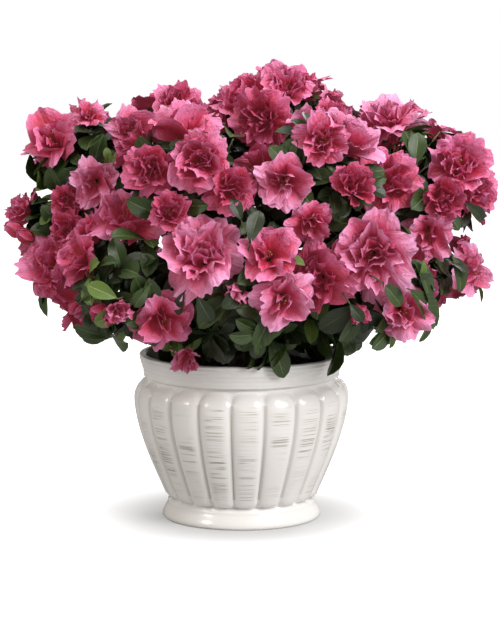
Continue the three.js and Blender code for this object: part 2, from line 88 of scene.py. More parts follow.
def pot_outline():
    """From the underside's middle up the outside to the rim, and down the inside, as radius and height."""
    foot = bezier([(FOOT_RADIUS, 3.5), (FOOT_RADIUS - 2, 10), (WAIST_RADIUS, 12),
                   (WAIST_RADIUS, WAIST_HEIGHT)], 7)
    belly = bezier([(WAIST_RADIUS + 1, WAIST_HEIGHT + 3), (WAIST_RADIUS + 11, WAIST_HEIGHT + 27),
                    (BELLY_RADIUS - 1, BELLY_HEIGHT - 34), (BELLY_RADIUS, BELLY_HEIGHT)], 34)
    shoulder = bezier([(BELLY_RADIUS, BELLY_HEIGHT + 2), (BELLY_RADIUS - 0.6, BELLY_HEIGHT + 13),
                       (NECK_RADIUS + 1, NECK_HEIGHT - 6), (NECK_RADIUS, NECK_HEIGHT)], 16)
    neck = bezier([(NECK_RADIUS, NECK_HEIGHT + 1), (NECK_RADIUS + 0.4, NECK_HEIGHT + 9),
                   (RIM_RADIUS, POT_HEIGHT - 9), (RIM_RADIUS, POT_HEIGHT - 2)], 20)
    lip = bezier([(RIM_RADIUS, POT_HEIGHT - 1.6), (RIM_RADIUS - 0.2, POT_HEIGHT + 0.2),
                  (RIM_RADIUS - WALL + 0.2, POT_HEIGHT + 0.2), (RIM_RADIUS - WALL, POT_HEIGHT - 3)], 7)
    inside = bezier([(RIM_RADIUS - WALL - 0.6, POT_HEIGHT - 8), (NECK_RADIUS - WALL - 1, NECK_HEIGHT),
                     (BELLY_RADIUS - WALL - GADROON_DEPTH, BELLY_HEIGHT),
                     (WAIST_RADIUS - WALL, WAIST_HEIGHT + 12), (WAIST_RADIUS - 2 * WALL, FLOOR)], 12)
    for point in neck + shoulder[-5:]:  # the ridges
        point[0] += RIDGE_DEPTH * math.sin(2 * math.pi * point[1] / RIDGE_PITCH)
    underside = [(0, 0.8), (FOOT_RADIUS - 9, 0.8), (FOOT_RADIUS - 7, 0), (FOOT_RADIUS - 1.5, 0),
                 (FOOT_RADIUS, 1.5)]
    return underside + foot + belly + shoulder + neck + lip + inside + [(0, FLOOR)]


def gadroon_inset(share, height):
    """How far the wall stands in, at a share of a gadroon's half width: 0 on its crest, 1 in the groove."""
    swell = math.sqrt(max(0.0, 1 - (0.985 * share) ** SQUARENESS))
    top = smooth_step(GADROON_TOP - TOP_ROUNDING * (1 - swell) - height, 0, 6)
    bottom = smooth_step(height - GADROON_FOOT - FOOT_ROUNDING * (1 - swell), 0, 5)
    return GADROON_DEPTH * (1 - (0.05 + 0.95 * swell) * min(top, bottom))


def new_piece(name, mesh, nodes=()):
    """An object for a finished mesh. It rides on the part's one body and stands for the solids named."""
    piece = bpy.data.objects.new(name, mesh)
    bpy.context.scene.collection.objects.link(piece)
    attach(piece, "root")
    if nodes:
        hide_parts(*nodes)
    return piece


def mesh_of(form, name):
    """A bmesh in millimetres as a smooth-shaded mesh in metres."""
    bmesh.ops.scale(form, vec=(MM, MM, MM), verts=form.verts)
    mesh = bpy.data.meshes.new(name)
    form.to_mesh(mesh)
    form.free()
    mesh.shade_smooth()
    return mesh


def colour(red, green, blue):
    """A colour given in the usual 0 to 255 steps, as the shaders take it."""
    def linear(step):
        share = step / 255
        return share / 12.92 if share <= 0.04045 else ((share + 0.055) / 1.055) ** 2.4
    return (linear(red), linear(green), linear(blue), 1)


class Shade:
    """A socket of a finish, with the arithmetic that adds its Math nodes."""

    def __init__(self, finish, socket):
        self.finish, self.socket = finish, socket

    def maths(self, operation, *others):
        return self.finish.node("ShaderNodeMath", {"operation": operation}, dict(enumerate((self, *others))))

    def __add__(self, other):
        return self.maths("ADD", other)

    def __sub__(self, other):
        return self.maths("SUBTRACT", other)

    def __rsub__(self, other):
        return (self * -1).maths("ADD", other)

    def __mul__(self, other):
        return self.maths("MULTIPLY", other)

    __radd__ = __add__
    __rmul__ = __mul__


class Finish:
    """A material whose Principled shader takes plain settings, and links for what changes over the piece."""

    def __init__(self, name, base, roughness, **settings):
        self.material = bpy.data.materials.new(name)
        self.material.use_nodes = True
        self.tree = self.material.node_tree
        self.surface = self.tree.nodes["Principled BSDF"]
        self.set("Base Color", base)
        self.set("Roughness", roughness)
        for socket, value in settings.items():
            self.set(socket.replace("_", " "), value)

    def set(self, socket, value):
        self.put(self.surface.inputs[socket], value)

    def put(self, socket, value):
        if isinstance(value, Shade):
            self.tree.links.new(value.socket, socket)
        else:
            socket.default_value = value

    def node(self, kind, settings=None, sockets=None, out=0):
        made = self.tree.nodes.new(kind)
        for name, value in (settings or {}).items():
            if name == "stops":
                made.color_ramp.elements[0].position, made.color_ramp.elements[1].position = value
            else:
                setattr(made, name, value)
        for name, value in (sockets or {}).items():
            self.put(made.inputs[name], value)
        return Shade(self, made.outputs[out])

    def place(self):
        return self.node("ShaderNodeTexCoord", out=3)

    def own_map(self):
        return self.parts(self.node("ShaderNodeTexCoord", out=2))

    def vector(self, *parts):
        return self.node("ShaderNodeCombineXYZ", {}, dict(enumerate(parts)))

    def parts(self, vector):
        split = self.tree.nodes.new("ShaderNodeSeparateXYZ")
        self.put(split.inputs[0], vector)
        return [Shade(self, socket) for socket in split.outputs]

    def noise(self, vector, scale, detail=2.0):
        return self.node("ShaderNodeTexNoise", {}, {"Vector": vector, "Scale": scale, "Detail": detail})

    def ramp(self, value, low, high):
        return self.node("ShaderNodeValToRGB", {"stops": (low, high)}, {"Fac": value})

    def mix(self, share, first, second):
        sockets = {0: share, 6: first, 7: second}
        return self.node("ShaderNodeMix", {"data_type": "RGBA"}, sockets, out=2)

    def bump(self, height, distance, strength=1.0):
        sockets = {"Height": height, "Distance": distance, "Strength": strength}
        self.set("Normal", self.node("ShaderNodeBump", {}, sockets))


pot = bmesh.new()
pot_line = pot_outline()
corners = [pot.verts.new((radius, 0, height)) for radius, height in pot_line]
rows = [pot.edges.new(pair) for pair in zip(corners, corners[1:])]
bmesh.ops.spin(pot, geom=corners + rows, cent=(0, 0, 0), axis=(0, 0, 1), angle=2 * math.pi,
               steps=GADROONS * STEPS_PER_GADROON, use_merge=True)
bmesh.ops.remove_doubles(pot, verts=pot.verts, dist=0.001)
bmesh.ops.recalc_face_normals(pot, faces=pot.faces)
outside = [point for point in pot_line if 15 < point[1] < NECK_HEIGHT + 8]
outside = outside[:np.argmax([height for _, height in outside]) + 1]
outer_radii, outer_heights = zip(*outside)
for vert in pot.verts:
    radius, height = math.hypot(vert.co.x, vert.co.y), vert.co.z
    on_inside = radius < np.interp(height, outer_heights, outer_radii) - 2
    if on_inside or not WAIST_HEIGHT < height < NECK_HEIGHT:
        continue
    turn = (math.degrees(math.atan2(vert.co.y, vert.co.x)) - GADROON_TURN) / (360 / GADROONS)
    share = 2 * abs(turn - round(turn))
    pressed = (radius - gadroon_inset(share, height)) / radius
    vert.co.x, vert.co.y = vert.co.x * pressed, vert.co.y * pressed
pot_mesh = mesh_of(pot, "pot_glazed")

GLAZE_WHITE = colour(249, 247, 245)
glaze = Finish("glaze", GLAZE_WHITE, 0.22, Coat_Weight=0.25, Coat_Roughness=0.08)
x, y, z = glaze.parts(glaze.place())
around = y.maths("ARCTAN2", x) * (GADROONS / (2 * math.pi)) - GADROON_TURN * GADROONS / 360
crest = 1 - (around - around.maths("ROUND")).maths("ABSOLUTE") * 2
patches = glaze.vector(around.maths("ROUND") * 7.3, z * 26, around * 0.35)
worn = glaze.ramp(glaze.noise(patches, 1.0, 1.5), 0.4, 0.62)
lines = glaze.ramp(glaze.noise(glaze.vector(x * 18, y * 18, z * 900), 1.0, 1.0), 0.52, 0.62)
belly_only = z.maths("GREATER_THAN", 0.03) * z.maths("LESS_THAN", 0.128)
rubbed = worn * lines * belly_only * glaze.ramp(crest, 0.3, 0.62)
# Painted shade: the grooves between the gadroons are darkened towards grey-brown.
painted_groove_shade = glaze.ramp(1 - crest, 0.8, 1.0) * belly_only
base = glaze.mix(painted_groove_shade * 0.55, GLAZE_WHITE, colour(180, 174, 164))
glaze.set("Base Color", glaze.mix(rubbed * 0.8, base, colour(138, 132, 106)))
glaze.set("Roughness", rubbed * 0.25 + 0.22)
rings = glaze.noise(glaze.vector(x * 6, y * 6, z * 420), 1.0)
glaze.bump(rings * 0.5 - rubbed * 0.4, 0.0009, 0.32)
pot_mesh.materials.append(glaze.material)
new_piece("pot_glazed", pot_mesh, ["pot"])


# The potting mix. Dark, coarse peat that fills the pot to a little under the rim, with loose crumbs on top.
# The solid keeps its own shape and takes the finish, and the crumbs lie on it.
peat = Finish("peat", colour(44, 34, 26), 0.95)
grain = peat.noise(peat.place(), 260.0, 6.0)
peat.set("Base Color", peat.mix(peat.ramp(grain, 0.4, 0.66), colour(28, 21, 16), colour(84, 64, 46)))
peat.bump(grain, 0.004)
mix_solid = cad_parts["potting_mix"]
mix_solid.data.materials.clear()
mix_solid.data.materials.append(peat.material)
MIX_TOP = 152
CRUMBS = 520
rng = np.random.default_rng(11)
crumbs = bmesh.new()
for _ in range(CRUMBS):
    size = rng.uniform(1.0, 3.2)
    turn, out = rng.uniform(0, 2 * math.pi), 90 * math.sqrt(rng.uniform(0.03, 1))
    drop = 2.2 * smooth_step(out, 52, 92)
    lump = bmesh.ops.create_icosphere(crumbs, subdivisions=1, radius=size)["verts"]
    bmesh.ops.scale(crumbs, vec=rng.uniform(0.5, 1.2, 3), verts=lump)
    bmesh.ops.rotate(crumbs, cent=(0, 0, 0), matrix=Matrix.Rotation(turn * 5, 3, "X"), verts=lump)
    bmesh.ops.translate(crumbs, vec=(out * math.cos(turn), out * math.sin(turn), MIX_TOP - drop), verts=lump)
crumb_mesh = mesh_of(crumbs, "peat_crumbs")
crumb_mesh.materials.append(peat.material)
new_piece("peat_crumbs", crumb_mesh)


# The growth rule. Each mass of foliage keeps to a space of its own and stands on the end of one bough. All
# its places come from one seeded row of numbers, as they do in the solids, so the two agree.
SEAT_GAP = 0.3
TRUNK_TOP = 214
TRUNK_LEAN = 5
BOUGH_RADII = {"low": 3.3, "upper": 3.8, "top": 3.3}
BOUGH_STARTS = {"low": 0.22, "upper": 0.5, "top": 0.96}
BOUGH_STAGGER = 0.14
BOUGH_TIP_RADIUS = 2.7
BOUGH_BEND = -0.4
BOUGH_PULL = 0.4
LONGEST_STEM = 0.8
STEM_END = 0.12
TOP_SPREAD = 4.2
HUB = np.array((0, 0, 214.0))
CELL_GAP = 1
LIMB_GAP = 2.5
STEM_SLACK = 5
CROWN_FLOOR = 166
SKIRT_RADIUS = 112
SKIRT_HEIGHT = 160
SKIRT_SLOPE = 0.3
SEED_STEP = 7919
UP = np.array((0, 0, 1.0))
MASSES = [  # name, azimuth from +X, distance from the pot's axis, height, reach, seed
    ("low_right", -4, 162, 236, 84, 43280),
    ("low_front_right", -46, 148, 250, 84, 71290),
    ("low_front", -88, 138, 254, 84, 97487),
    ("low_front_left", -131, 150, 246, 84, 48426),
    ("low_left", -171, 156, 274, 84, 97896),
    ("low_back_left", 144, 150, 246, 83, 75290),
    ("low_back", 96, 144, 244, 83, 63710),
    ("low_back_right", 46, 152, 246, 84, 58531),
    ("upper_right", -9, 160, 328, 86, 22938),
    ("upper_front_right", -58, 124, 340, 80, 44732),
    ("upper_front_left", -112, 118, 340, 80, 46768),
    ("upper_left", -170, 143, 346, 76, 7845),
    ("upper_back_left", 138, 130, 330, 80, 44994),
    ("upper_back", 88, 124, 330, 80, 12139),
    ("upper_back_right", 40, 136, 332, 81, 78185),
    ("top_left", -166, 62, 358, 74, 31307),
    ("top_right", -46, 56, 378, 74, 75449),
    ("top_back", 64, 60, 366, 75, 109527),
]


def unit(vector):
    return vector / np.linalg.norm(vector)


def seeded(seed):
    """A repeatable source of numbers between two limits."""
    state = seed

    def draw(low, high):
        nonlocal state
        state = (state * 16807) % 2147483647
        return low + (high - low) * state / 2147483647
    return draw


def at_azimuth(azimuth, radius, height):
    turn = math.radians(azimuth)
    return np.array((radius * math.cos(turn), radius * math.sin(turn), height))


def curve_at(corners, along):
    """A point of a quadratic Bezier curve."""
    first, middle, last = corners
    return (1 - along) ** 2 * first + 2 * along * (1 - along) * middle + along ** 2 * last


trunk_line = (np.array((0, 0, MIX_TOP + SEAT_GAP)), np.array((0, 0, (MIX_TOP + TRUNK_TOP) / 2)),
              np.array((TRUNK_LEAN, -TRUNK_LEAN / 2, TRUNK_TOP)))


class Mass:
    """One mass of foliage: its place, its reach, and what grows in it."""

    def __init__(self, index, name, azimuth, radius, height, reach, seed):
        self.name, self.reach, self.draw = name, reach, seeded(SEED_STEP * seed)
        self.ring = name.split("_")[0]
        self.centre = at_azimuth(azimuth, radius, height)
        self.axis = unit(self.centre - HUB)
        stagger = BOUGH_STAGGER if self.ring != "top" and index % 2 else 0
        self.start = curve_at(trunk_line, BOUGH_STARTS[self.ring] + stagger)
        if self.ring == "top":
            self.start = self.start + at_azimuth(azimuth, TOP_SPREAD, 0)
        self.leaves, self.blooms = [], []


masses = [Mass(index, *row) for index, row in enumerate(MASSES)]
centres = np.array([mass.centre for mass in masses])
reaches = np.array([mass.reach for mass in masses])


def in_space(mass, points, slack=0.0):
    """Whether all the points lie in a mass's own space: nearer to it than to any other mass, by their
    reaches, inside its reach, and above the crown's underside."""
    points = np.atleast_2d(points)
    away = ((points[:, None, :] - centres[None]) ** 2).sum(2) - reaches ** 2
    own = masses.index(mass)
    beyond = np.hypot(points[:, 0], points[:, 1]) - SKIRT_RADIUS
    lowest = np.where(beyond < 0, CROWN_FLOOR, SKIRT_HEIGHT + SKIRT_SLOPE * beyond)
    if (np.linalg.norm(points - mass.centre, axis=1) > mass.reach - slack).any():
        return False
    if (points[:, 2] < lowest + slack).any():
        return False
    borders = 2 * (CELL_GAP + slack) * np.linalg.norm(centres - mass.centre, axis=1)
    clear = away - away[:, own:own + 1] > borders
    clear[:, own] = True
    return bool(clear.all())


for mass in masses:
    towards = unit(mass.centre - mass.start)
    mass.heading = unit(towards + UP * (BOUGH_BEND * (1 - towards[2])))
    length = 0
    while length < LONGEST_STEM * mass.reach:
        if not in_space(mass, mass.centre - mass.heading * (length + 1), STEM_SLACK):
            break
        length += 1
    mass.entry = mass.centre - mass.heading * length
    mass.stem_tip = mass.centre - mass.heading * STEM_END * mass.reach
    pull = BOUGH_PULL * np.linalg.norm(mass.entry - mass.start)
    mass.bough = (mass.start, mass.entry - mass.heading * pull, mass.entry - mass.heading * SEAT_GAP)


def bough_radius(mass, along):
    """A bough tapers evenly from the trunk to its tip."""
    thick = BOUGH_RADII[mass.ring]
    return thick + (BOUGH_TIP_RADIUS - thick) * along


SAMPLES = 17
shares = [(mass, step / (SAMPLES - 1)) for mass in masses for step in range(SAMPLES)]
bark_points = np.array([curve_at(mass.bough, along) for mass, along in shares])
bark_reach = np.array([bough_radius(mass, along) + LIMB_GAP for mass, along in shares])
bark_owner = np.repeat(np.arange(len(masses)), SAMPLES)


def clear_of_limbs(mass, points):
    points = np.atleast_2d(points)
    others = bark_owner != masses.index(mass)
    apart = np.linalg.norm(points[:, None, :] - bark_points[None, others], axis=2)
    return bool((apart >= bark_reach[others]).all())


def fits(mass, points):
    return in_space(mass, points) and clear_of_limbs(mass, points)


def along_line(start, end, count):
    return start + (end - start) * np.linspace(0, 1, count + 1)[:, None]


class Stand:
    """A frame that stands at a point and looks along a direction."""

    def __init__(self, point, along, turn):
        self.point, self.along, self.turn = point, along, turn
        self.side = unit(np.cross((0.3, 0.2, 1.0), along))
        self.front = np.cross(along, self.side)

    def at(self, azimuth, distance, height):
        angle = math.radians(azimuth + self.turn)
        across = self.side * math.cos(angle) + self.front * math.sin(angle)
        return self.point + across * distance + self.along * height


BLOOM_RADIUS = 34
BLOOM_DEPTH = 20
BLOOM_SEAT = 0.56
BLOOM_SPACING = 0.74
BLOOM_TILT = 84
BLOOM_DROOP = -0.45
BLOOM_SCALES = (1, 0.86, 0.72)
BLOOMS = 5
LEAFY_TWIGS = 3
LEAFY_TILT = 58
LEAFY_REACHES = (0.74, 0.52)
DIRECTIONS = 48
SPIRAL_TILTS = (26, 130)
GOLDEN_TURN = 137.508
WHORL = 4
LEAF_LENGTH = 44
LEAF_SCALES = (1, 0.75, 0.5)
LEAF_WIDTH = 0.42
LEAF_WIDEST = 0.58
LEAF_CLEARANCE = 0.3
RUFFLE_DRAWS = 40  # the numbers that the solids' petals use up before the next spray


def turned(vector, axis, angle):
    return np.array(Matrix.Rotation(math.radians(angle), 3, Vector(axis)) @ Vector(vector))


def spiral(axis, turn, count, tilts):
    """Directions in a spiral round an axis, with their angles from it."""
    side = unit(np.cross((0.2, 0.1, 1.0), axis))
    found = []
    for i in range(count):
        around = turned(side, axis, turn + GOLDEN_TURN * i)
        tilt = tilts[0] + (tilts[1] - tilts[0]) * i / count
        found.append((tilt, turned(axis, around, tilt)))
    return found


class Bloom:
    def __init__(self, middle, facing, radius):
        self.middle, self.facing, self.radius = middle, facing, radius
        self.foot = middle - facing * BLOOM_DEPTH
        self.tint, self.form = None, "cupped" if radius < 20 else "full"


class Leaf:
    """A leaf from its foot to its tip, with the side that it turns up. Age runs from 0, new, to 1, dark."""

    def __init__(self, foot, tip, up, age):
        self.foot, self.tip, self.up, self.age = foot, tip, up, age


def bloom_places(mass, directions):
    places = []
    for tilt, facing in directions:
        size = BLOOM_RADIUS * mass.draw(0.9, 1.04)
        if tilt > BLOOM_TILT or facing[2] < BLOOM_DROOP or len(places) >= BLOOMS:
            continue
        for scale in BLOOM_SCALES:
            radius = size * scale
            middle = mass.centre + facing * (mass.reach - BLOOM_SEAT * radius)
            stand = Stand(middle, facing, 0)
            rim = [stand.at(45 * i, radius * 0.98, radius * 0.2) for i in range(8)]
            apart = all(np.linalg.norm(other.middle - middle) > BLOOM_SPACING * (other.radius + radius)
                        for other in places)
            if apart and fits(mass, rim + [middle]):
                places.append(Bloom(middle, facing, radius))
                break
    return places


def whorl(mass, stand, blooms, lean, age):
    """A whorl of leaves. A leaf that would leave its mass's space, touch a bough, or run into a bloom or a
    leaf is tried shorter, and then left out."""
    half = math.degrees(math.atan(LEAF_WIDTH / 2 / LEAF_WIDEST))
    for i in range(WHORL):
        azimuth = 360 / WHORL * (i + 0.5) + mass.draw(-11, 11)
        rise = math.tan(math.radians(90 - lean - mass.draw(-9, 9)))
        droop = mass.draw(0.02, 0.2)
        length = LEAF_LENGTH * mass.draw(0.84, 1.08)
        for scale in LEAF_SCALES:
            long = length * scale
            wide = math.hypot(LEAF_WIDEST, LEAF_WIDTH / 2) * long
            points = [stand.at(azimuth - half, wide, LEAF_WIDEST * long * rise),
                      stand.at(azimuth, long, long * (rise - droop)),
                      stand.at(azimuth + half, wide, LEAF_WIDEST * long * rise)]
            middle = (points[0] + points[2]) / 2
            tested = np.array(points + [middle])
            if not fits(mass, tested):
                continue
            if any((np.linalg.norm(tested - b.middle, axis=1) <= 0.8 * b.radius).any() for b in blooms):
                continue
            if any((np.linalg.norm(tested - m, axis=1) <= LEAF_CLEARANCE * LEAF_LENGTH).any()
                   for m in mass.leaf_middles):
                continue
            mass.leaf_middles.append(middle)
            mass.leaves.append(Leaf(stand.at(azimuth, 1.5, 0), points[1], stand.along, age))
            break


def petal_draws(mass):
    """Uses up the numbers that the ruffles of a bloom take in the solids, so that the rest agrees."""
    for _ in range(RUFFLE_DRAWS):
        mass.draw(0, 1)


def grow(mass):
    """The blooms, twigs and leaves that the solids have, in the same places."""
    mass.leaf_middles, mass.twigs = [], []
    directions = spiral(mass.axis, mass.draw(0, 360), DIRECTIONS, SPIRAL_TILTS)
    places = bloom_places(mass, directions)
    for bloom in places:
        root = mass.entry + (mass.stem_tip - mass.entry) * mass.draw(0.4, 0.95)
        if not fits(mass, along_line(root, bloom.foot, 8)):
            continue
        others = [other for other in places if other is not bloom]
        lean = mass.draw(64, 78)
        stand = Stand(bloom.foot, bloom.facing, mass.draw(0, 90))
        whorl(mass, stand, others, lean, 0.6)
        petal_draws(mass)
        mass.blooms.append(bloom)
        mass.twigs.append((root, bloom.foot, bloom.facing))
    feet = []
    for tilt, facing in directions:
        if tilt < LEAFY_TILT or len(feet) >= LEAFY_TWIGS:
            continue
        root = mass.entry + (mass.stem_tip - mass.entry) * mass.draw(0.4, 0.95)
        for share in LEAFY_REACHES:
            foot = mass.centre + facing * mass.reach * share
            line = along_line(root, foot, 8)
            clear = all((np.linalg.norm(line - b.middle, axis=1) > b.radius).all() for b in places)
            apart = all(np.linalg.norm(other - foot) > 0.9 * LEAF_LENGTH for other in feet)
            if clear and apart and fits(mass, line):
                lean = mass.draw(50, 66)
                along = unit(foot - root)
                whorl(mass, Stand(foot, along, mass.draw(0, 90)), places, lean, 0.35)
                mass.twigs.append((root, foot, along))
                feet.append(foot)
                break


for mass in masses:
    grow(mass)


# More blooms, twigs and leaves than the solids have room for. The shrub's show side is the front, so its
# blooms stand in a table, and the sides and the back get theirs by the seeded rule.
EYE = np.array((8.5, -2475.0, 540.0))
FRONT_BLOOMS = [  # across and up as seen from the front, tint, radius and form
    (-186, 377, "rose", 33, "loose"), (-149, 401, "rose", 17, "loose"), (-109, 387, "pale", 26, "loose"),
    (-64, 412, "rose", 27, "full"), (-41, 357, "rose", 32, "full"), (-91, 348, "deep", 23, "full"),
    (-146, 335, "pale", 23, "loose"), (-171, 316, "deep", 19, "full"), (-112, 297, "rose", 34, "loose"),
    (-72, 306, "deep", 21, "full"), (-186, 252, "rose", 33, "full"), (-172, 287, "deep", 21, "full"),
    (-219, 308, "rose", 18, "full"), (-39, 262, "pale", 36, "full"), (-10, 328, "deep", 22, "full"),
    (-4, 413, "rose", 27, "full"), (19, 398, "deep", 31, "full"), (46, 428, "rose", 26, "full"),
    (81, 377, "rose", 24, "full"), (90, 398, "deep", 21, "full"), (147, 399, "pale", 32, "loose"),
    (215, 354, "rose", 33, "full"), (200, 318, "deep", 24, "full"), (228, 330, "rose", 26, "full"),
    (143, 335, "rose", 33, "full"), (112, 333, "deep", 24, "full"), (41, 336, "pale", 28, "loose"),
    (13, 346, "deep", 25, "full"), (68, 293, "rose", 23, "loose"), (27, 263, "rose", 28, "loose"),
    (74, 240, "deep", 31, "full"), (131, 262, "pale", 38, "full"), (186, 284, "pale", 26, "loose"),
    (41, 218, "pale", 32, "loose"), (161, 207, "pale", 28, "loose"), (229, 246, "pale", 29, "loose"),
    (-78, 197, "rose", 32, "loose"), (-124, 207, "pale", 14, "cupped"),
]
TILTED = {"full": 0.4, "loose": 0.24, "cupped": 0.3}  # how far a front bloom may lean out of its line
FINE_DEPTH = 0.62  # how far a bloom's middle lies inside its mass's reach, as a share of its radius
OPENINGS = [  # where the sky shows between the masses, across and up as seen from the front, and radius
    (220, 202, 27), (-235, 258, 29), (-144, 425, 19), (-35, 413, 10), (94, 434, 17), (210, 402, 15),
    (-122, 228, 7), (-156, 240, 6), (-121, 312, 5), (211, 276, 9),
]


def seen_at(point):
    """Where a point is seen from the front, across and up on the upright plane through the pot's axis."""
    nearer = EYE[1] / (EYE[1] - point[1])
    return EYE[0] + (point[0] - EYE[0]) * nearer, EYE[2] + (point[2] - EYE[2]) * nearer


def in_opening(point, widening=0.0):
    across, up = seen_at(point)
    return any(math.hypot(across - x, up - z) < radius + widening for x, z, radius in OPENINGS)


def line_of_sight(across, up):
    """Points every 2 mm, front to back, on the line of sight through a place over the pot's middle, and the
    way back to the eye."""
    to_place = np.array((across, 0.0, up)) - EYE
    ahead = unit(to_place)
    nearest = np.linalg.norm(to_place) - 260
    return [EYE + ahead * (nearest + 2.0 * step) for step in range(150)], -ahead


def shaded(point, blooms, margin):
    """Whether a point lies in front of, or within, the face of one of these blooms, out to a share of its
    radius."""
    for bloom in blooms:
        offset = point - bloom.middle
        height = offset @ bloom.facing
        across = np.linalg.norm(offset - bloom.facing * height)
        if -6 < height < 1.1 * bloom.radius and across < margin * bloom.radius:
            return True
    return False


def nearest_mass(point):
    away = ((point - centres) ** 2).sum(1) - reaches ** 2
    return masses[int(np.argmin(away))]


def add_bloom(mass, middle, facing, radius):
    """Adds a bloom on a twig from its mass's stem."""
    bloom = Bloom(middle, facing, radius)
    root = mass.entry + (mass.stem_tip - mass.entry) * mass.draw(0.5, 0.98)
    mass.blooms.append(bloom)
    mass.twigs.append((root, bloom.foot, facing))
    return bloom


def stands_apart(mass, middle, radius):
    return all(np.linalg.norm(other.middle - middle) > BLOOM_CROWDING * (other.radius + radius)
               for other in mass.blooms)


def standing_place(across, up, radius):
    """Where a bloom seen at a place stands on its mass, and how it faces: just inside the reach, or as near
    to that as may be."""
    line, towards_eye = line_of_sight(across, up)

    def beyond(point):
        mass = nearest_mass(point)
        return np.linalg.norm(point - mass.centre) - mass.reach + FINE_DEPTH * radius

    inside = [point for point in line if beyond(point) < 0 and in_space(nearest_mass(point), point)]
    point = inside[0] if inside else min(line, key=beyond)
    out = unit(point - nearest_mass(point).centre)
    return point, unit(out * 0.7 + towards_eye * 0.9 + UP * 0.05)


FRONTAL = -0.3  # a bloom of the solids that faces further forward gives way to the front blooms
FRONT_SWELL = 1.1
STILL_IN_BUD = {  # blooms of the solids that are only buds as yet, by their place in the mass
    "low_front": (0,), "low_front_left": (0, 2, 3), "low_front_right": (3,), "low_left": (1,),
    "upper_right": (0,)}
for mass in masses:
    in_bud = [mass.blooms[i] for i in STILL_IN_BUD.get(mass.name, ())]
    mass.late = [bloom for bloom in mass.blooms if bloom.facing[1] < FRONTAL or bloom in in_bud]
    mass.leaves = [leaf for leaf in mass.leaves if not in_opening(leaf.tip)]
    mass.blooms = [bloom for bloom in mass.blooms if bloom not in mass.late]
    for bloom in mass.blooms:
        if bloom.facing[1] < 0.1:
            bloom.radius = min(BLOOM_RADIUS, bloom.radius * FRONT_SWELL)
for across, up, tint, radius, form in FRONT_BLOOMS:
    middle, facing = standing_place(across, up, radius)
    mass = nearest_mass(middle)
    leaning = np.array([mass.draw(-TILTED[form], TILTED[form]) for _ in range(3)])
    bloom = add_bloom(mass, middle, unit(facing + leaning), radius)
    bloom.tint, bloom.form = tint, form

BLOOM_TRIES = 90
BLOOM_CROWDING = 0.62  # how near the middles of two blooms may stand, as a share of both radii
TRUSS_SHARE = 0.22  # of the blooms have a neighbour on the same twig
TRUSS_LEAN = 34


def add_trusses(mass):
    """Gives some blooms a neighbour that leans away from them, as azaleas flower in twos and threes."""
    for bloom in list(mass.blooms):
        if bloom.facing[1] < 0.1 or mass.draw(0, 1) > TRUSS_SHARE:
            continue
        stand = Stand(bloom.foot, bloom.facing, mass.draw(0, 360))
        for step in range(10):
            lean = math.radians(TRUSS_LEAN + mass.draw(0, 14))
            out = unit(stand.at(36 * step, math.sin(lean), math.cos(lean)) - bloom.foot)
            radius = bloom.radius * mass.draw(0.8, 1)
            aside = stand.at(36 * step, radius * 0.92, 0)
            middle = bloom.foot + out * BLOOM_DEPTH * 0.6 + aside - bloom.foot
            clear = out[2] >= -0.35 and in_space(mass, middle, 0.1 * radius)
            if clear and stands_apart(mass, middle, radius):
                add_bloom(mass, middle, out, radius)
                break


for mass in masses:
    for _, facing in spiral(mass.axis, mass.draw(0, 360), BLOOM_TRIES, (8, 104)):
        radius = mass.draw(22, 31)
        middle = mass.centre + facing * (mass.reach - FINE_DEPTH * radius)
        if facing[1] < 0.1 or facing[2] < -0.5 or len(mass.blooms) > BLOOMS + 1:
            continue
        if stands_apart(mass, middle, radius) and in_space(mass, middle, 0.25 * radius):
            add_bloom(mass, middle, facing, radius)
    add_trusses(mass)
    mass.blooms = [bloom for bloom in mass.blooms
                   if bloom.tint or not in_opening(bloom.middle, 0.35 * bloom.radius)]

TWIGS_PER_MASS = 46  # at most
TWIG_DIRECTIONS = 190
TWIG_REACHES = (0.92, 0.78, 0.63, 0.47, 0.3)
TWIG_SPACING = 15.5
ROSETTE = 6
LEAF_LONG = 38


def above_pot(point):
    """Whether a point is clear of the pot's rim and of the mix in it."""
    radius = math.hypot(point[0], point[1])
    if radius > RIM_RADIUS + 3:
        return point[2] > POT_HEIGHT - 26
    return point[2] > (POT_HEIGHT + 3 if radius > RIM_RADIUS - WALL - 5 else MIX_TOP + 3)


def rosette(mass, foot, along, lean, long, age, free=False):
    """Leaves round the end of a twig, each a little different, with the ones in the way left out. Free ones
    may leave their mass's space."""
    stand = Stand(foot, along, mass.draw(0, 360))
    for i in range(ROSETTE):
        azimuth = 360 / ROSETTE * i + mass.draw(-22, 22)
        tilt = math.radians(lean + mass.draw(-16, 16))
        length = long * mass.draw(0.72, 1.12)
        back = mass.draw(-3, 4)
        start = stand.at(azimuth, 1.2, -back)
        tip = stand.at(azimuth, 1.2 + length * math.sin(tilt), length * math.cos(tilt) - back)
        middle = (start + tip) / 2
        both = np.array((middle, tip))
        if free:
            if not (above_pot(tip) and above_pot(middle)):
                continue
        elif not in_space(mass, both) or not clear_of_limbs(mass, both):
            continue
        if shaded(tip, mass.blooms, 0.8) or shaded(middle, mass.blooms, 0.8) or in_opening(tip):
            continue
        up = unit(stand.along + 0.25 * UP)
        mass.leaves.append(Leaf(start, tip, up, min(1, max(0, age + mass.draw(-0.25, 0.25)))))


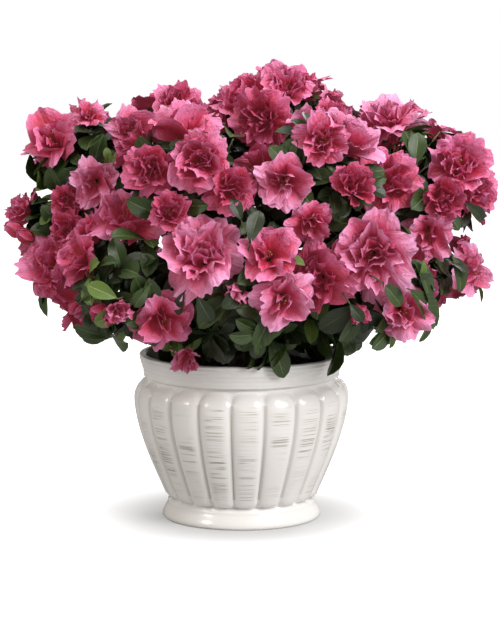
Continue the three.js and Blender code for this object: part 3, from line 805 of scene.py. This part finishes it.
for mass in masses:
    for root, foot, along in list(mass.twigs):
        rosette(mass, foot - along * 3, along, 74, LEAF_LONG, 0.55)
        rosette(mass, (root + foot) / 2, unit(foot - root), 66, LEAF_LONG * 0.9, 0.9)
    feet = []
    for _, facing in spiral(mass.axis, mass.draw(0, 360), TWIG_DIRECTIONS, (4, 176)):
        if len(feet) >= TWIGS_PER_MASS:
            break
        root = mass.entry + (mass.stem_tip - mass.entry) * mass.draw(0.2, 1)
        for share in TWIG_REACHES:
            foot = mass.centre + facing * mass.reach * share * mass.draw(0.94, 1.04)
            inside = in_space(mass, foot, 3) and clear_of_limbs(mass, foot)
            if not inside or shaded(foot, mass.blooms, 0.7):
                continue
            if any(np.linalg.norm(other - foot) < TWIG_SPACING for other in feet):
                continue
            feet.append(foot)
            along = unit(unit(foot - root) + 0.35 * facing)
            mass.twigs.append((root, foot, along))
            lively = mass.draw(0, 1) < 0.2 and share > 0.6
            age = 0.12 if lively else 1.2 - 0.6 * share
            rosette(mass, foot, along, 60, LEAF_LONG * (0.85 if lively else 1), age)
            break

# A small bell that hangs over the rim of the pot, and leafy shoots between the boughs and over the mix.
SKIRT_SHOOTS = 96
SKIRT_REACH = 112
bell = Bloom(np.array((-52, -106, 176.0)), unit(np.array((-0.2, -0.8, -0.35))), 18)
bell.tint = "pale"
mass = nearest_mass(bell.middle)
mass.blooms.append(bell)
mass.twigs.append((curve_at(mass.bough, 0.9), bell.foot, bell.facing))
draw = masses[0].draw
for shoot in range(SKIRT_SHOOTS):
    share = math.sqrt((shoot + 0.5) / SKIRT_SHOOTS)
    azimuth = GOLDEN_TURN * shoot
    foot = at_azimuth(azimuth, SKIRT_REACH * share, POT_HEIGHT + 16 + draw(0, 30) + 10 * share)
    mass = nearest_mass(foot)
    root = curve_at(mass.bough, draw(0.35, 0.8))
    along = unit(at_azimuth(azimuth, 1, 0) * (0.35 + share) + UP * draw(-0.45, 0.5))
    mass.twigs.append((root, foot, along))
    rosette(mass, foot, along, 62, LEAF_LONG * draw(0.85, 1.1), draw(0.2, 1.1), True)

# Old leaves in the heart of the crown, where the masses meet.
HEART_SHOOTS = 34
HEART_RADIUS = 85
HEART_HEIGHTS = (232, 338)
for shoot in range(HEART_SHOOTS):
    out = HEART_RADIUS * math.sqrt((shoot + 0.5) / HEART_SHOOTS)
    foot = at_azimuth(GOLDEN_TURN * shoot, out, draw(*HEART_HEIGHTS))
    mass = nearest_mass(foot)
    mass.twigs.append((curve_at(mass.bough, 0.8), foot, mass.axis))
    rosette(mass, foot, mass.axis, 62, LEAF_LONG, 0.95, True)

RIM_LEAVES = [  # broad leaves that hang over the front of the rim: place from left to right, length, age
    (9, 48, 0.4), (38, 50, 0.1), (26, 40, 0.5), (84, 42, 0.6), (-16, 40, 0.9), (104, 38, 0.5),
]
for across, long, age in RIM_LEAVES:
    depth = -math.sqrt((RIM_RADIUS + 7) ** 2 - across ** 2)
    tip = np.array((across, depth, POT_HEIGHT - 2.0 + (50 - long) * 0.6))
    foot = tip + unit(np.array((-0.1 * across / 40, 0.55, 0.83))) * long
    mass = nearest_mass(foot)
    mass.leaves.append(Leaf(foot, tip, unit(np.array((0, -0.9, 0.4))), age))
    mass.twigs.append((curve_at(mass.bough, 0.6), foot, unit(tip - foot)))

# A leaf that would come up through a bloom, or a twig that would stand bare against the sky, isn't there.
OPENED = 1.07  # how much wider the petals spread than a bloom's radius in the solids
all_blooms = [bloom for mass in masses for bloom in mass.blooms]
bloom_middles = np.array([bloom.middle for bloom in all_blooms])
bloom_facings = np.array([bloom.facing for bloom in all_blooms])
bloom_radii = np.array([bloom.radius for bloom in all_blooms]) * OPENED


def points_of(leaf):
    return [leaf.foot + (leaf.tip - leaf.foot) * share for share in (0.3, 0.65, 1)]


def pierces(leaf):
    for point in points_of(leaf):
        offsets = point - bloom_middles
        heights = (offsets * bloom_facings).sum(1)
        across = np.linalg.norm(offsets - bloom_facings * heights[:, None], axis=1) / bloom_radii
        funnel = -BLOOM_DEPTH * np.clip(1 - 2 * across, 0, 1) - 3
        if ((across < 1.05) & (heights > funnel) & (heights < 0.9 * bloom_radii)).any():
            return True
    return False


def against_sky(leaf):
    return any(in_opening(point) for point in points_of(leaf))


for mass in masses:
    mass.leaves = [leaf for leaf in mass.leaves if not pierces(leaf) and not against_sky(leaf)]
    feet = np.array([leaf.foot for leaf in mass.leaves] + [bloom.foot for bloom in mass.blooms])
    mass.twigs = [twig for twig in mass.twigs if np.linalg.norm(feet - twig[1], axis=1).min() < 7]

FRONT_LEAVES = [  # foot and tip, each across and up as seen from the front, and age
    ((8, 274), (18, 310), 0.9), ((4, 316), (16, 292), 0.9), ((-137, 350), (-124, 366), 0.1),
    ((-130, 352), (-134, 370), 0.15), ((-184, 322), (-164, 340), 0.9), ((172, 257), (190, 217), 0.6),
    ((140, 236), (161, 213), 0.5), ((168, 228), (197, 200), 0.7), ((222, 315), (238, 300), 0.9),
    ((-44, 222), (-30, 194), 0.8), ((-57, 226), (-66, 203), 0.9), ((0, 297), (-9, 320), 0.9),
    ((168, 386), (178, 366), 0.6), ((-92, 232), (-108, 210), 0.6), ((108, 214), (122, 196), 0.8),
    ((210, 262), (222, 226), 0.6),
]
for foot, tip, age in FRONT_LEAVES:
    start, facing = standing_place(*foot, 18)
    end, _ = standing_place(*tip, 12)
    end = start + (end - start) * (1.0, 0.3, 1.0)
    mass = nearest_mass(start)
    mass.leaves.append(Leaf(start, end, facing, age))
    mass.twigs.append((mass.stem_tip, start, unit(end - start)))

FRONT_BUDS = [(-228, 290), (-218, 284), (-114, 203), (-132, 199)]  # across and up
for mass in masses:
    mass.buds = []
    for bloom in mass.late:
        across, up = seen_at(bloom.middle)
        hidden = any(math.hypot(across - x, up - z) < 1.3 * radius for x, z, _, radius, _ in FRONT_BLOOMS)
        if hidden or in_opening(bloom.foot, 8):
            continue
        stand = Stand(bloom.foot, bloom.facing, 0)
        for i in range(3):
            lean = unit(stand.at(120 * i, 0.35, 1) - bloom.foot)
            mass.buds.append((bloom.foot + lean * 2, lean))
for across, up in FRONT_BUDS:
    for point in line_of_sight(across, up)[0]:
        mass = nearest_mass(point)
        if np.linalg.norm(point - mass.centre) < mass.reach - 6:
            facing = unit(point - mass.centre + 20 * UP)
            mass.buds.append((point - facing * 16, facing))
            mass.twigs.append((mass.stem_tip, point - facing * 16, facing))
            break


# Small shapes, each modelled once and then copied into place. Petals and leaves take their colours from a
# map of their own, where they lie side by side by tint or age, and where many copies share one strip.
SKIN_MAP = "OFBake"


class Shape:
    """The corners and faces of a small shape, ready to be copied many times, and its corners on the map."""

    def __init__(self, form):
        form.verts.index_update()
        self.points = np.array([vert.co for vert in form.verts])
        self.corners = np.array([vert.index for face in form.faces for vert in face.verts])
        self.sizes = np.array([len(face.verts) for face in form.faces])
        self.slots = np.array([face.material_index for face in form.faces])
        skin = form.loops.layers.uv.active
        loops = [loop for face in form.faces for loop in face.loops]
        self.skin = np.array([loop[skin].uv if skin else (0, 0) for loop in loops])
        form.free()


class Heap:
    """Copies of small shapes, gathered into one mesh."""

    def __init__(self):
        self.points, self.corners, self.sizes, self.slots, self.skins = [], [], [], [], []
        self.count = 0

    def add(self, shape, points, first_slot=0, along_map=0.0):
        self.points.append(points)
        self.corners.append(shape.corners + self.count)
        self.sizes.append(shape.sizes)
        self.slots.append(shape.slots + first_slot)
        self.skins.append(shape.skin + (along_map, 0))
        self.count += len(points)

    def mesh(self, name, finishes):
        points, corners = np.concatenate(self.points) * MM, np.concatenate(self.corners)
        sizes, slots = np.concatenate(self.sizes), np.concatenate(self.slots)
        mesh = bpy.data.meshes.new(name)
        mesh.vertices.add(len(points))
        mesh.vertices.foreach_set("co", points.astype(np.float32).ravel())
        mesh.loops.add(len(corners))
        mesh.loops.foreach_set("vertex_index", corners.astype(np.int32))
        mesh.polygons.add(len(sizes))
        mesh.polygons.foreach_set("loop_start", (np.cumsum(sizes) - sizes).astype(np.int32))
        for finish in finishes:
            mesh.materials.append(finish.material)
        mesh.polygons.foreach_set("material_index", slots.astype(np.int32))
        skin = np.concatenate(self.skins)
        if skin.any():
            mesh.uv_layers.new(name=SKIN_MAP).uv.foreach_set("vector", skin.astype(np.float32).ravel())
        mesh.update(calc_edges=True)
        mesh.validate()
        mesh.shade_smooth()
        return mesh


def set_along(points, foot, ahead, up, length):
    """Places a flat shape's points, whose y runs from 0 to 1, from a foot along a direction."""
    ahead = unit(ahead)
    side = unit(np.cross(ahead, up))
    top = np.cross(side, ahead)
    return foot + (points[:, :1] * side + points[:, 1:2] * ahead + points[:, 2:] * top) * length


def set_up(points, foot, facing, turn, scale):
    """Places an upright shape's points on a foot, looking along a direction."""
    side = unit(np.cross((0.3, 0.2, 1.0), facing))
    front = np.cross(facing, side)
    c, s = math.cos(turn), math.sin(turn)
    across, ahead = side * c + front * s, front * c - side * s
    return foot + (points[:, :1] * across + points[:, 1:2] * ahead + points[:, 2:] * facing) * scale


# The bark. A short smooth trunk and thin boughs of grey-brown wood with shallow cracks, and young twigs that
# are still green-brown. A plain rod is bent along each limb's line, and its skin is roughened a little.
def rod(sides, steps):
    """An upright rod of radius 1 and height 1, closed at both ends."""
    form = bmesh.new()
    bmesh.ops.create_circle(form, segments=sides, radius=1)
    edges = list(form.edges)
    for _ in range(steps):
        grown = bmesh.ops.extrude_edge_only(form, edges=edges)["geom"]
        verts = [item for item in grown if isinstance(item, bmesh.types.BMVert)]
        edges = [item for item in grown if isinstance(item, bmesh.types.BMEdge)]
        bmesh.ops.translate(form, vec=(0, 0, 1 / steps), verts=verts)
    bmesh.ops.holes_fill(form, edges=form.edges, sides=sides)
    bmesh.ops.recalc_face_normals(form, faces=form.faces)
    return Shape(form)


def bent(shape, corners, radius_at, roughness=0.0):
    """A rod's points along a quadratic Bezier curve, with its radius given along the way."""
    along = np.clip(shape.points[:, 2], 0, 1)[:, None]
    first, middle, last = corners
    tangent = 2 * (1 - along) * (middle - first) + 2 * along * (last - middle)
    tangent /= np.linalg.norm(tangent, axis=1)[:, None]
    side = np.cross((0.31, 0.95, 0.05), tangent)
    side /= np.linalg.norm(side, axis=1)[:, None]
    front = np.cross(tangent, side)
    angle = np.arctan2(shape.points[:, 1], shape.points[:, 0])[:, None]
    length = np.linalg.norm(last - first)
    cracks = np.sin(angle * 5 + np.sin(along * length * 0.11) * 1.7)
    cracks *= np.sin(along * length * 0.31 + angle * 2)
    radius = radius_at(along) * (1 + roughness * cracks)
    return curve_at(corners, along) + (shape.points[:, :1] * side + shape.points[:, 1:2] * front) * radius


TRUNK_RADIUS = 9.5
TRUNK_TOP_RADIUS = 7.5
ROOT_FLARE = 4.5
STEM_RADIUS = 2.8
TWIG_RADIUS = 1.25
BARK_ROUGHNESS = 0.05
bark = Finish("bark", colour(92, 74, 58), 0.85)
flecks = bark.noise(bark.place(), 190.0, 5.0)
bark.set("Base Color", bark.mix(bark.ramp(flecks, 0.36, 0.66), colour(70, 54, 42), colour(128, 108, 88)))
bark.bump(flecks, 0.0012)
green_wood = Finish("green_wood", colour(84, 82, 48), 0.6)


def trunk_radius(along):
    return TRUNK_RADIUS + (TRUNK_TOP_RADIUS - TRUNK_RADIUS) * along + ROOT_FLARE * (1 - along) ** 6


trunk = Heap()
trunk_rod = rod(28, 40)
trunk.add(trunk_rod, bent(trunk_rod, trunk_line, trunk_radius, BARK_ROUGHNESS))
new_piece("trunk_bark", trunk.mesh("trunk_bark", [bark]), ["trunk"])

boughs = Heap()
bough_rod = rod(12, 26)
for mass in masses:
    points = bent(bough_rod, mass.bough, lambda along: bough_radius(mass, along), BARK_ROUGHNESS)
    boughs.add(bough_rod, points)
bough_nodes = [f"bough_{mass.name}" for mass in masses]
new_piece("bough_bark", boughs.mesh("bough_bark", [bark]), bough_nodes)

twigs = Heap()
stem_rod, twig_rod = rod(8, 6), rod(5, 5)
for mass in masses:
    stem = (mass.entry, (mass.entry + mass.stem_tip) / 2, mass.stem_tip)
    twigs.add(stem_rod, bent(stem_rod, stem, lambda along: STEM_RADIUS - 0.9 * along))
    for root, foot, heading in mass.twigs:
        halfway = (root + foot) / 2
        before_foot = foot - heading * np.linalg.norm(foot - root) / 2
        twig = (root, halfway + (before_foot - halfway) * 0.55, foot)
        twigs.add(twig_rod, bent(twig_rod, twig, lambda along: TWIG_RADIUS - 0.5 * along))
new_piece("twigs", twigs.mesh("twigs", [green_wood]))


# The leaves. Leathery, blunt and a little folded along the rib, dark green where they are old and
# yellow-green on the new shoots. Each is a small grid drawn in to the leaf's outline.
LEAF_GREENS = {"new": ((96, 122, 50), (136, 152, 86)),  # the blade and its ribs
               "grown": ((50, 70, 28), (92, 112, 60)),
               "old": ((36, 48, 24), (64, 78, 44))}
LEAF_FORMS = [  # width, fold, arch, droop and wave, as shares of the length
    (0.25, 0.35, 0.07, 0.06, 0.02), (0.28, 0.22, 0.05, 0.1, 0.03),
    (0.235, 0.5, 0.1, 0.03, 0.015), (0.265, 0.3, 0.02, 0.15, 0.025),
]
LEAF_STRIPS = (-1, -0.52, -0.055, 0.055, 0.52, 1)  # where the grid's lines run, across the half width
LEAVES_ON_MAP = 12  # side by side, four of each age


def leaf_shape(width, fold, arch, droop, wave):
    """A leaf of length 1 along y, with its foot at the origin."""
    form = bmesh.new()
    strips = len(LEAF_STRIPS) - 1
    bmesh.ops.create_grid(form, x_segments=strips, y_segments=6, size=1)
    skin = form.loops.layers.uv.verify()
    for vert in form.verts:
        strip = round((vert.co.x + 1) / 2 * strips)
        across = LEAF_STRIPS[strip]
        along = 1 - (1 - (vert.co.y + 1) / 2) ** 1.45
        half = width * (0.05 + 0.95 * math.sin(math.pi * min(1, along) ** 1.5) ** 0.6)
        lift = arch * 4 * along * (1 - along) - droop * along ** 2 + fold * half * abs(across)
        ripple = wave * math.sin(9 * along + 2 * across) * abs(across) * along
        vert.co = (across * half, along, lift + ripple - (0.006 if abs(across) < 0.1 else 0))
        for loop in vert.link_loops:
            loop[skin].uv = (0.49 * across / LEAVES_ON_MAP, along)
    return Shape(form)


leaf_shapes = [leaf_shape(*form) for form in LEAF_FORMS]
leaf_finishes = []
for age, (blade, rib) in LEAF_GREENS.items():
    green = Finish(f"leaf_{age}", colour(*blade), 0.42)
    across, along, _ = green.own_map()
    own = across * LEAVES_ON_MAP
    aside = (own - own.maths("FLOOR") - 0.5).maths("ABSOLUTE")
    blotches = green.noise(green.vector(own * 2.3, along * 2.6), 1.0, 3.0)
    darker = colour(*(0.72 * part for part in blade))
    base = green.mix(green.ramp(blotches, 0.42, 0.66) * 0.45, colour(*blade), darker)
    side_vein = ((along * 7 - aside * 5).maths("FRACT") - 0.5).maths("ABSOLUTE")
    ribs = 1 - green.ramp(aside, 0.012, 0.045) * (1 - green.ramp(side_vein, 0.43, 0.5) * 0.45)
    green.set("Base Color", green.mix(ribs, base, colour(*rib)))
    green.bump(ribs * -0.6 + green.ramp(blotches, 0.3, 0.7) * 0.5, 0.0008, 0.5)
    leaf_finishes.append(green)

RINGS = ("low", "upper", "top")
rng = np.random.default_rng(23)
for ring in RINGS:
    heap = Heap()
    members = [mass for mass in masses if mass.ring == ring]
    for mass in members:
        for leaf in mass.leaves:
            shape = leaf_shapes[rng.integers(len(leaf_shapes))]
            ahead = leaf.tip - leaf.foot
            outwards = unit((leaf.foot + leaf.tip) / 2 - mass.centre)
            up = 0.5 * leaf.up + 0.6 * outwards + 0.25 * UP + rng.uniform(-0.3, 0.3, 3)
            points = set_along(shape.points, leaf.foot, ahead, up, np.linalg.norm(ahead))
            age = 0 if leaf.age < 0.25 else 1 if leaf.age < 0.72 else 2
            heap.add(shape, points, age, (4 * age + rng.integers(4) + 0.5) / LEAVES_ON_MAP)
    name = f"leaves_{ring}"
    new_piece(name, heap.mesh(name, leaf_finishes), [f"foliage_{mass.name}" for mass in members])


# The blooms. Each is a short tube that opens into broad, wavy outer petals round a heap of smaller crumpled
# ones, deep rose in the throat and paler towards the frilled edges, with a few stamens. The throat's depth
# is partly painted shade, and the pale edges are partly a painted highlight.
FACE = 34  # the radius that the shapes below are drawn for
STRIP = 0.03  # half of a petal's width on the map
# The throat colours are partly painted shade, and the rim colours are partly a painted highlight.
PETAL_TINTS = {  # throat, middle and rim
    "rose": ((148, 14, 26), (202, 62, 96), (226, 138, 186)),
    "deep": ((130, 10, 18), (184, 46, 74), (212, 108, 156)),
    "pale": ((162, 26, 48), (210, 92, 130), (234, 166, 210)),
}


def add_petal(form, turn, spine, half_width, grid, frill, phase, cup, fold, twist, shade, pointed=0.4):
    """A petal over a line from the tube outwards, its corners given as distance and height. Broad folds run
    along it, with painted shade in their valleys, and its rounded end is crimped and pale, partly its own
    pale edge and partly a painted highlight. Towards the throat it is deep, partly painted shade."""
    made = bmesh.ops.create_grid(form, x_segments=grid[0], y_segments=grid[1], size=1)["verts"]
    turned_to = Matrix.Rotation(turn, 3, "Z")
    skin = form.loops.layers.uv.verify()
    middle_of_strip = (0.12 + 0.76 * (phase * 7.31 % 1)) / len(PETAL_TINTS)
    corners = [np.array(corner, float) for corner in spine]
    waves = 1.35 + 0.45 * math.sin(phase * 3)
    marks = {}
    for vert in made:
        across, along = vert.co.x, (vert.co.y + 1) / 2
        rounding = 1 - pointed * (1 - math.sqrt(1 - 0.95 * across ** 2))
        rounding -= 0.05 * math.exp(-(across / 0.12) ** 2)
        notch = 0.024 * math.sin(9 * across + 2 * phase) + 0.02 * math.sin(14 * across + 5 * phase)
        notch += 0.012 * math.sin(21 * across + 7 * phase)
        out = along * (rounding + notch * along ** 2)
        edge = max(along ** 4, across ** 4 * along)
        distance, height = curve_at(corners, out)
        ahead = unit(2 * (1 - out) * (corners[1] - corners[0]) + 2 * out * (corners[2] - corners[1]))
        half = half_width * (0.12 + 0.88 * smooth_step(along, 0.0, 0.8))
        half *= 1 + 0.04 * math.sin(9 * along + phase)
        wave = math.sin(math.pi * waves * across + phase)
        rise = FACE * fold * wave * along ** 1.4 + cup * half_width * across ** 2 * along
        crimp = math.sin(16 * across + 3 * phase) * (0.7 + 0.5 * math.sin(4 * across + 2 * phase))
        rise += FACE * frill * edge * (crimp + 0.7 * math.sin(8 * across + 9 * along))
        rise += twist * half_width * across * along
        distance, height = distance - ahead[1] * rise, height + ahead[0] * rise
        # The mark on the map sets the colour: deep towards the throat, partly painted shade; painted shade
        # in the valleys of the folds; and a pale rim, partly the petal's own edge and partly a painted
        # highlight.
        rim = 0.22 * max(along ** 9, across ** 12 * along)
        mark = 0.04 + 0.68 * along ** 1.1 + 0.13 * wave * along + rim + shade
        marks[vert] = (middle_of_strip + STRIP * across, min(0.99, max(0.01, mark)))
        vert.co = turned_to @ Vector((distance, across * half, height))
    for vert in made:
        for loop in vert.link_loops:
            loop[skin].uv = marks[vert]


def add_thread(form, turn, lean, length, base):
    """A stamen: a thin thread with its knob of pollen."""
    thread = bmesh.ops.create_cone(form, segments=3, radius1=0.4, radius2=0.3, depth=length)["verts"]
    knob = bmesh.ops.create_cube(form, size=1.3)["verts"]
    bmesh.ops.translate(form, vec=(0, 0, length / 2), verts=thread)
    bmesh.ops.translate(form, vec=(0, 0, length), verts=knob)
    for face in {face for vert in knob for face in vert.link_faces}:
        face.material_index = 1
    placed = Matrix.Rotation(turn, 3, "Z") @ Matrix.Rotation(lean, 3, "Y")
    bmesh.ops.rotate(form, cent=(0, 0, 0), matrix=placed, verts=thread + knob)
    bmesh.ops.translate(form, vec=(0, 0, base), verts=thread + knob)


def bloom_shape(seed, outer, middle, inner, lift=0.0, pointed=0.4):
    """A whole bloom: a wheel of outer petals, a cup of middle ones and a crumpled heap. Lift closes it."""
    form = bmesh.new()
    draw = np.random.default_rng(seed).uniform
    start = draw(0, 6)
    for i in range(outer):
        turn = start + 2 * math.pi / outer * (i + draw(-0.2, 0.2))
        tip, rise = FACE * draw(0.9, 1.16) * (1 - 0.5 * lift), draw(-0.5, 0.34) + 0.9 * lift
        spine = ((2.2, 1), (6 + draw(0, 8), BLOOM_DEPTH + draw(-2, 10)), (tip, BLOOM_DEPTH + FACE * rise))
        add_petal(form, turn, spine, FACE * draw(0.44, 0.62), (20, 8), 0.044, draw(0, 6), draw(-0.2, 0.25),
                  draw(0.05, 0.14), draw(-0.5, 0.5), draw(-0.12, 0.12), pointed)
    for i in range(middle):
        turn = start + 2 * math.pi / middle * (i + 0.5 + draw(-0.3, 0.3))
        tip, rise = FACE * draw(0.5, 0.82) * (1 - 0.5 * lift), draw(0.2, 0.56) + 0.5 * lift
        spine = ((2.0, 4), (5 + draw(0, 5), BLOOM_DEPTH - 2), (tip, BLOOM_DEPTH + FACE * rise))
        add_petal(form, turn, spine, FACE * draw(0.34, 0.5), (16, 6), 0.055, draw(0, 6), draw(0, 0.35),
                  draw(0.08, 0.16), draw(-0.5, 0.5), draw(-0.12, 0.08))
    for i in range(inner):
        turn = start + 2 * math.pi / inner * (i + draw(-0.3, 0.3))
        tip, rise = FACE * draw(0.14, 0.4), draw(0.3, 0.54) + 0.2 * lift
        spine = ((1.4, 8), (2 + draw(0, 3), BLOOM_DEPTH), (tip, BLOOM_DEPTH + FACE * rise))
        add_petal(form, turn, spine, FACE * draw(0.2, 0.34), (12, 5), 0.058, draw(0, 6), draw(-0.3, 0.5),
                  draw(0.1, 0.18), draw(-0.8, 0.8), draw(-0.2, 0))
    return Shape(form)


def stamens_shape(seed):
    form = bmesh.new()
    draw = np.random.default_rng(seed).uniform
    for i in range(5):
        add_thread(form, i * 1.26 + draw(0, 0.6), draw(0.08, 0.34), 15 + draw(0, 6), 9)
    return Shape(form)


def bud_shape():
    """A closed bud, its petals rolled round each other."""
    form = bmesh.new()
    for i in range(5):
        spine = ((1.6, 0), (7.5, 9), (0.7, 22))
        add_petal(form, 2 * math.pi / 5 * i, spine, 6, (6, 6), 0.004, 1 + i, 0.35, 0.01, 0.5, -0.1)
    return Shape(form)


BLOOM_FORMS = {  # seed, outer, middle and inner petals, lift and, where it isn't the usual, how pointed
    "full": [(1, 5, 6, 6, 0), (2, 6, 6, 6, 0.08), (3, 5, 6, 7, 0.15), (4, 6, 7, 5, 0),
             (5, 5, 7, 5, 0.22), (6, 6, 6, 7, 0.05), (7, 5, 6, 6, 0.12), (8, 5, 7, 5, 0.3),
             (9, 6, 4, 3, 0.02), (10, 5, 2, 1, 0.1)],
    "loose": [(11, 5, 3, 2, 0.05, 0.68), (12, 6, 2, 2, 0.15, 0.68), (13, 5, 4, 1, 0, 0.68),
              (14, 5, 2, 3, 0.25, 0.68)],
    "cupped": [(20, 5, 3, 2, 0.62), (21, 5, 3, 2, 0.62), (22, 5, 3, 2, 0.62)],
}
bloom_shapes = {form: [bloom_shape(*row) for row in rows] for form, rows in BLOOM_FORMS.items()}
bud = bud_shape()
stamens = [stamens_shape(seed) for seed in (31, 32, 33)]
TINTS = list(PETAL_TINTS)
petal_finishes = []
for tint, (throat, middle, rim) in PETAL_TINTS.items():
    # The petals glow faintly: painted light standing for light that passes through them into their shade.
    petal = Finish(f"petal_{tint}", colour(*middle), 0.46, Specular_IOR_Level=0.4,
                   Emission_Color=colour(196, 80, 96), Emission_Strength=0.075)
    across, outwards, _ = petal.own_map()
    base = petal.mix(petal.ramp(outwards, 0.04, 0.5), colour(*throat), colour(*middle))
    base = petal.mix(petal.ramp(outwards, 0.42, 0.98), base, colour(*rim))
    veins = petal.noise(petal.vector(across * 330, outwards * 2.4), 1.0, 3.0)
    petal.set("Base Color", petal.mix(petal.ramp(veins, 0.48, 0.74) * 0.36, base, colour(*throat)))
    petal.bump(petal.noise(petal.vector(across * 210, outwards * 7), 1.0), 0.004, 0.65)
    petal_finishes.append(petal)
stamen_finishes = [Finish("thread", colour(226, 130, 156), 0.6), Finish("pollen", colour(150, 110, 60), 0.8)]

TINT_ODDS = (0.46, 0.3, 0.24)
FORM_KEPT = 0.7  # of the blooms without a tint of their own, and the others are loose
rng = np.random.default_rng(5)
stamen_heap = Heap()
for ring in RINGS:
    heap = Heap()
    for mass in masses:
        if mass.ring != ring:
            continue
        for bloom in mass.blooms:
            shapes = bloom_shapes[bloom.form if bloom.tint or rng.uniform() < FORM_KEPT else "loose"]
            shape = shapes[rng.integers(len(shapes))]
            tint = TINTS.index(bloom.tint or rng.choice(TINTS, p=TINT_ODDS))
            scale = bloom.radius / FACE * OPENED
            foot = bloom.middle - bloom.facing * BLOOM_DEPTH * scale
            turn = rng.uniform(0, 2 * math.pi)
            points = set_up(shape.points, foot, bloom.facing, turn, scale)
            heap.add(shape, points, tint, tint / len(TINTS))
            threads = stamens[rng.integers(len(stamens))]
            stamen_heap.add(threads, set_up(threads.points, foot, bloom.facing, turn, scale))
        for foot, facing in mass.buds:
            points = set_up(bud.points, foot, facing, rng.uniform(0, 2 * math.pi), rng.uniform(0.8, 1.15))
            tint = TINTS.index(rng.choice(TINTS))
            heap.add(bud, points, tint, tint / len(TINTS))
    new_piece(f"blooms_{ring}", heap.mesh(f"blooms_{ring}", petal_finishes))
new_piece("stamens", stamen_heap.mesh("stamens", stamen_finishes))


# The stage. A white sweep for a floor, with a painted shadow round the pot's foot, a bright window at the
# right, fainter ones at the left and behind, a soft ceiling, and the camera in front, a little above the
# crown. Only the plant and its pot are the part.
AIM = np.array((8.5, 0.0, 205.0))
LENS = 144
PAINTED_SHADOW_GLOW = 0.24


def light(name, place, aim, size, power, shade):
    lamp = bpy.data.lights.new(name, "AREA")
    lamp.shape, lamp.size, lamp.energy, lamp.color = "DISK", size, power, shade
    holder = bpy.data.objects.new(name, lamp)
    holder.location = place
    holder.rotation_euler = (Vector(aim) - Vector(place)).to_track_quat("-Z", "Y").to_euler()
    bpy.context.scene.collection.objects.link(holder)


light("window", (1.6, -1.5, 1.5), (0, 0, 0.25), 1.4, 52, (1, 0.99, 0.985))
light("far_window", (-1.9, -1.3, 1.3), (0, 0, 0.25), 0.6, 12, (1, 0.94, 0.88))
light("back_window", (0.9, 2.1, 1.4), (0, 0, 0.3), 1.2, 26, (1, 0.985, 0.97))
light("ceiling", (0.1, -0.2, 2.3), (0, 0, 0.3), 1.4, 24, (1, 0.985, 0.97))
lens = bpy.data.cameras.new("camera")
lens.lens, lens.sensor_width = LENS, 36
camera = bpy.data.objects.new("camera", lens)
camera.location = Vector(EYE) * MM
camera.rotation_euler = (Vector(AIM) - Vector(EYE)).to_track_quat("-Z", "Y").to_euler()
bpy.context.scene.collection.objects.link(camera)
bpy.context.scene.camera = camera

sky = bpy.data.worlds.new("sky")
bpy.context.scene.world = sky
sky.use_nodes = True
glow = sky.node_tree.nodes["Background"]
glow.inputs["Color"].default_value = (1, 0.95, 0.88, 1)
glow.inputs["Strength"].default_value = 0.41
backdrop = sky.node_tree.nodes.new("ShaderNodeBackground")
backdrop.inputs["Color"].default_value = (1, 1, 1, 1)
seen = sky.node_tree.nodes.new("ShaderNodeLightPath")
either = sky.node_tree.nodes.new("ShaderNodeMixShader")
sky.node_tree.links.new(seen.outputs["Is Camera Ray"], either.inputs[0])
sky.node_tree.links.new(glow.outputs[0], either.inputs[1])
sky.node_tree.links.new(backdrop.outputs[0], either.inputs[2])
sky.node_tree.links.new(either.outputs[0], sky.node_tree.nodes["World Output"].inputs[0])
bpy.context.scene.view_settings.view_transform = "Standard"

# For the camera the sweep glows white, but less round the pot's foot, which paints a shadow there.
sweep = Finish("white_sweep", (0.4, 0.4, 0.4, 1), 1, Specular_IOR_Level=0, Emission_Strength=1)
away = sweep.node("ShaderNodeVectorMath", {"operation": "LENGTH"}, {0: sweep.place()}, out=1)
painted_shadow_spread = sweep.node("ShaderNodeMapRange", {"interpolation_type": "SMOOTHSTEP"},
                    {"Value": away, "From Min": 0.06, "From Max": 0.19})
camera_only = sweep.node("ShaderNodeLightPath")
glowing = sweep.mix(painted_shadow_spread, (PAINTED_SHADOW_GLOW,) * 3 + (1,), (1, 1, 1, 1))
sweep.set("Emission Color", sweep.mix(camera_only, (0, 0, 0, 1), glowing))
ground = bmesh.new()
bmesh.ops.create_circle(ground, cap_ends=True, segments=64, radius=5)
floor_mesh = bpy.data.meshes.new("floor")
ground.to_mesh(floor_mesh)
ground.free()
floor_mesh.materials.append(sweep.material)
floor = bpy.data.objects.new("floor", floor_mesh)
bpy.context.scene.collection.objects.link(floor)
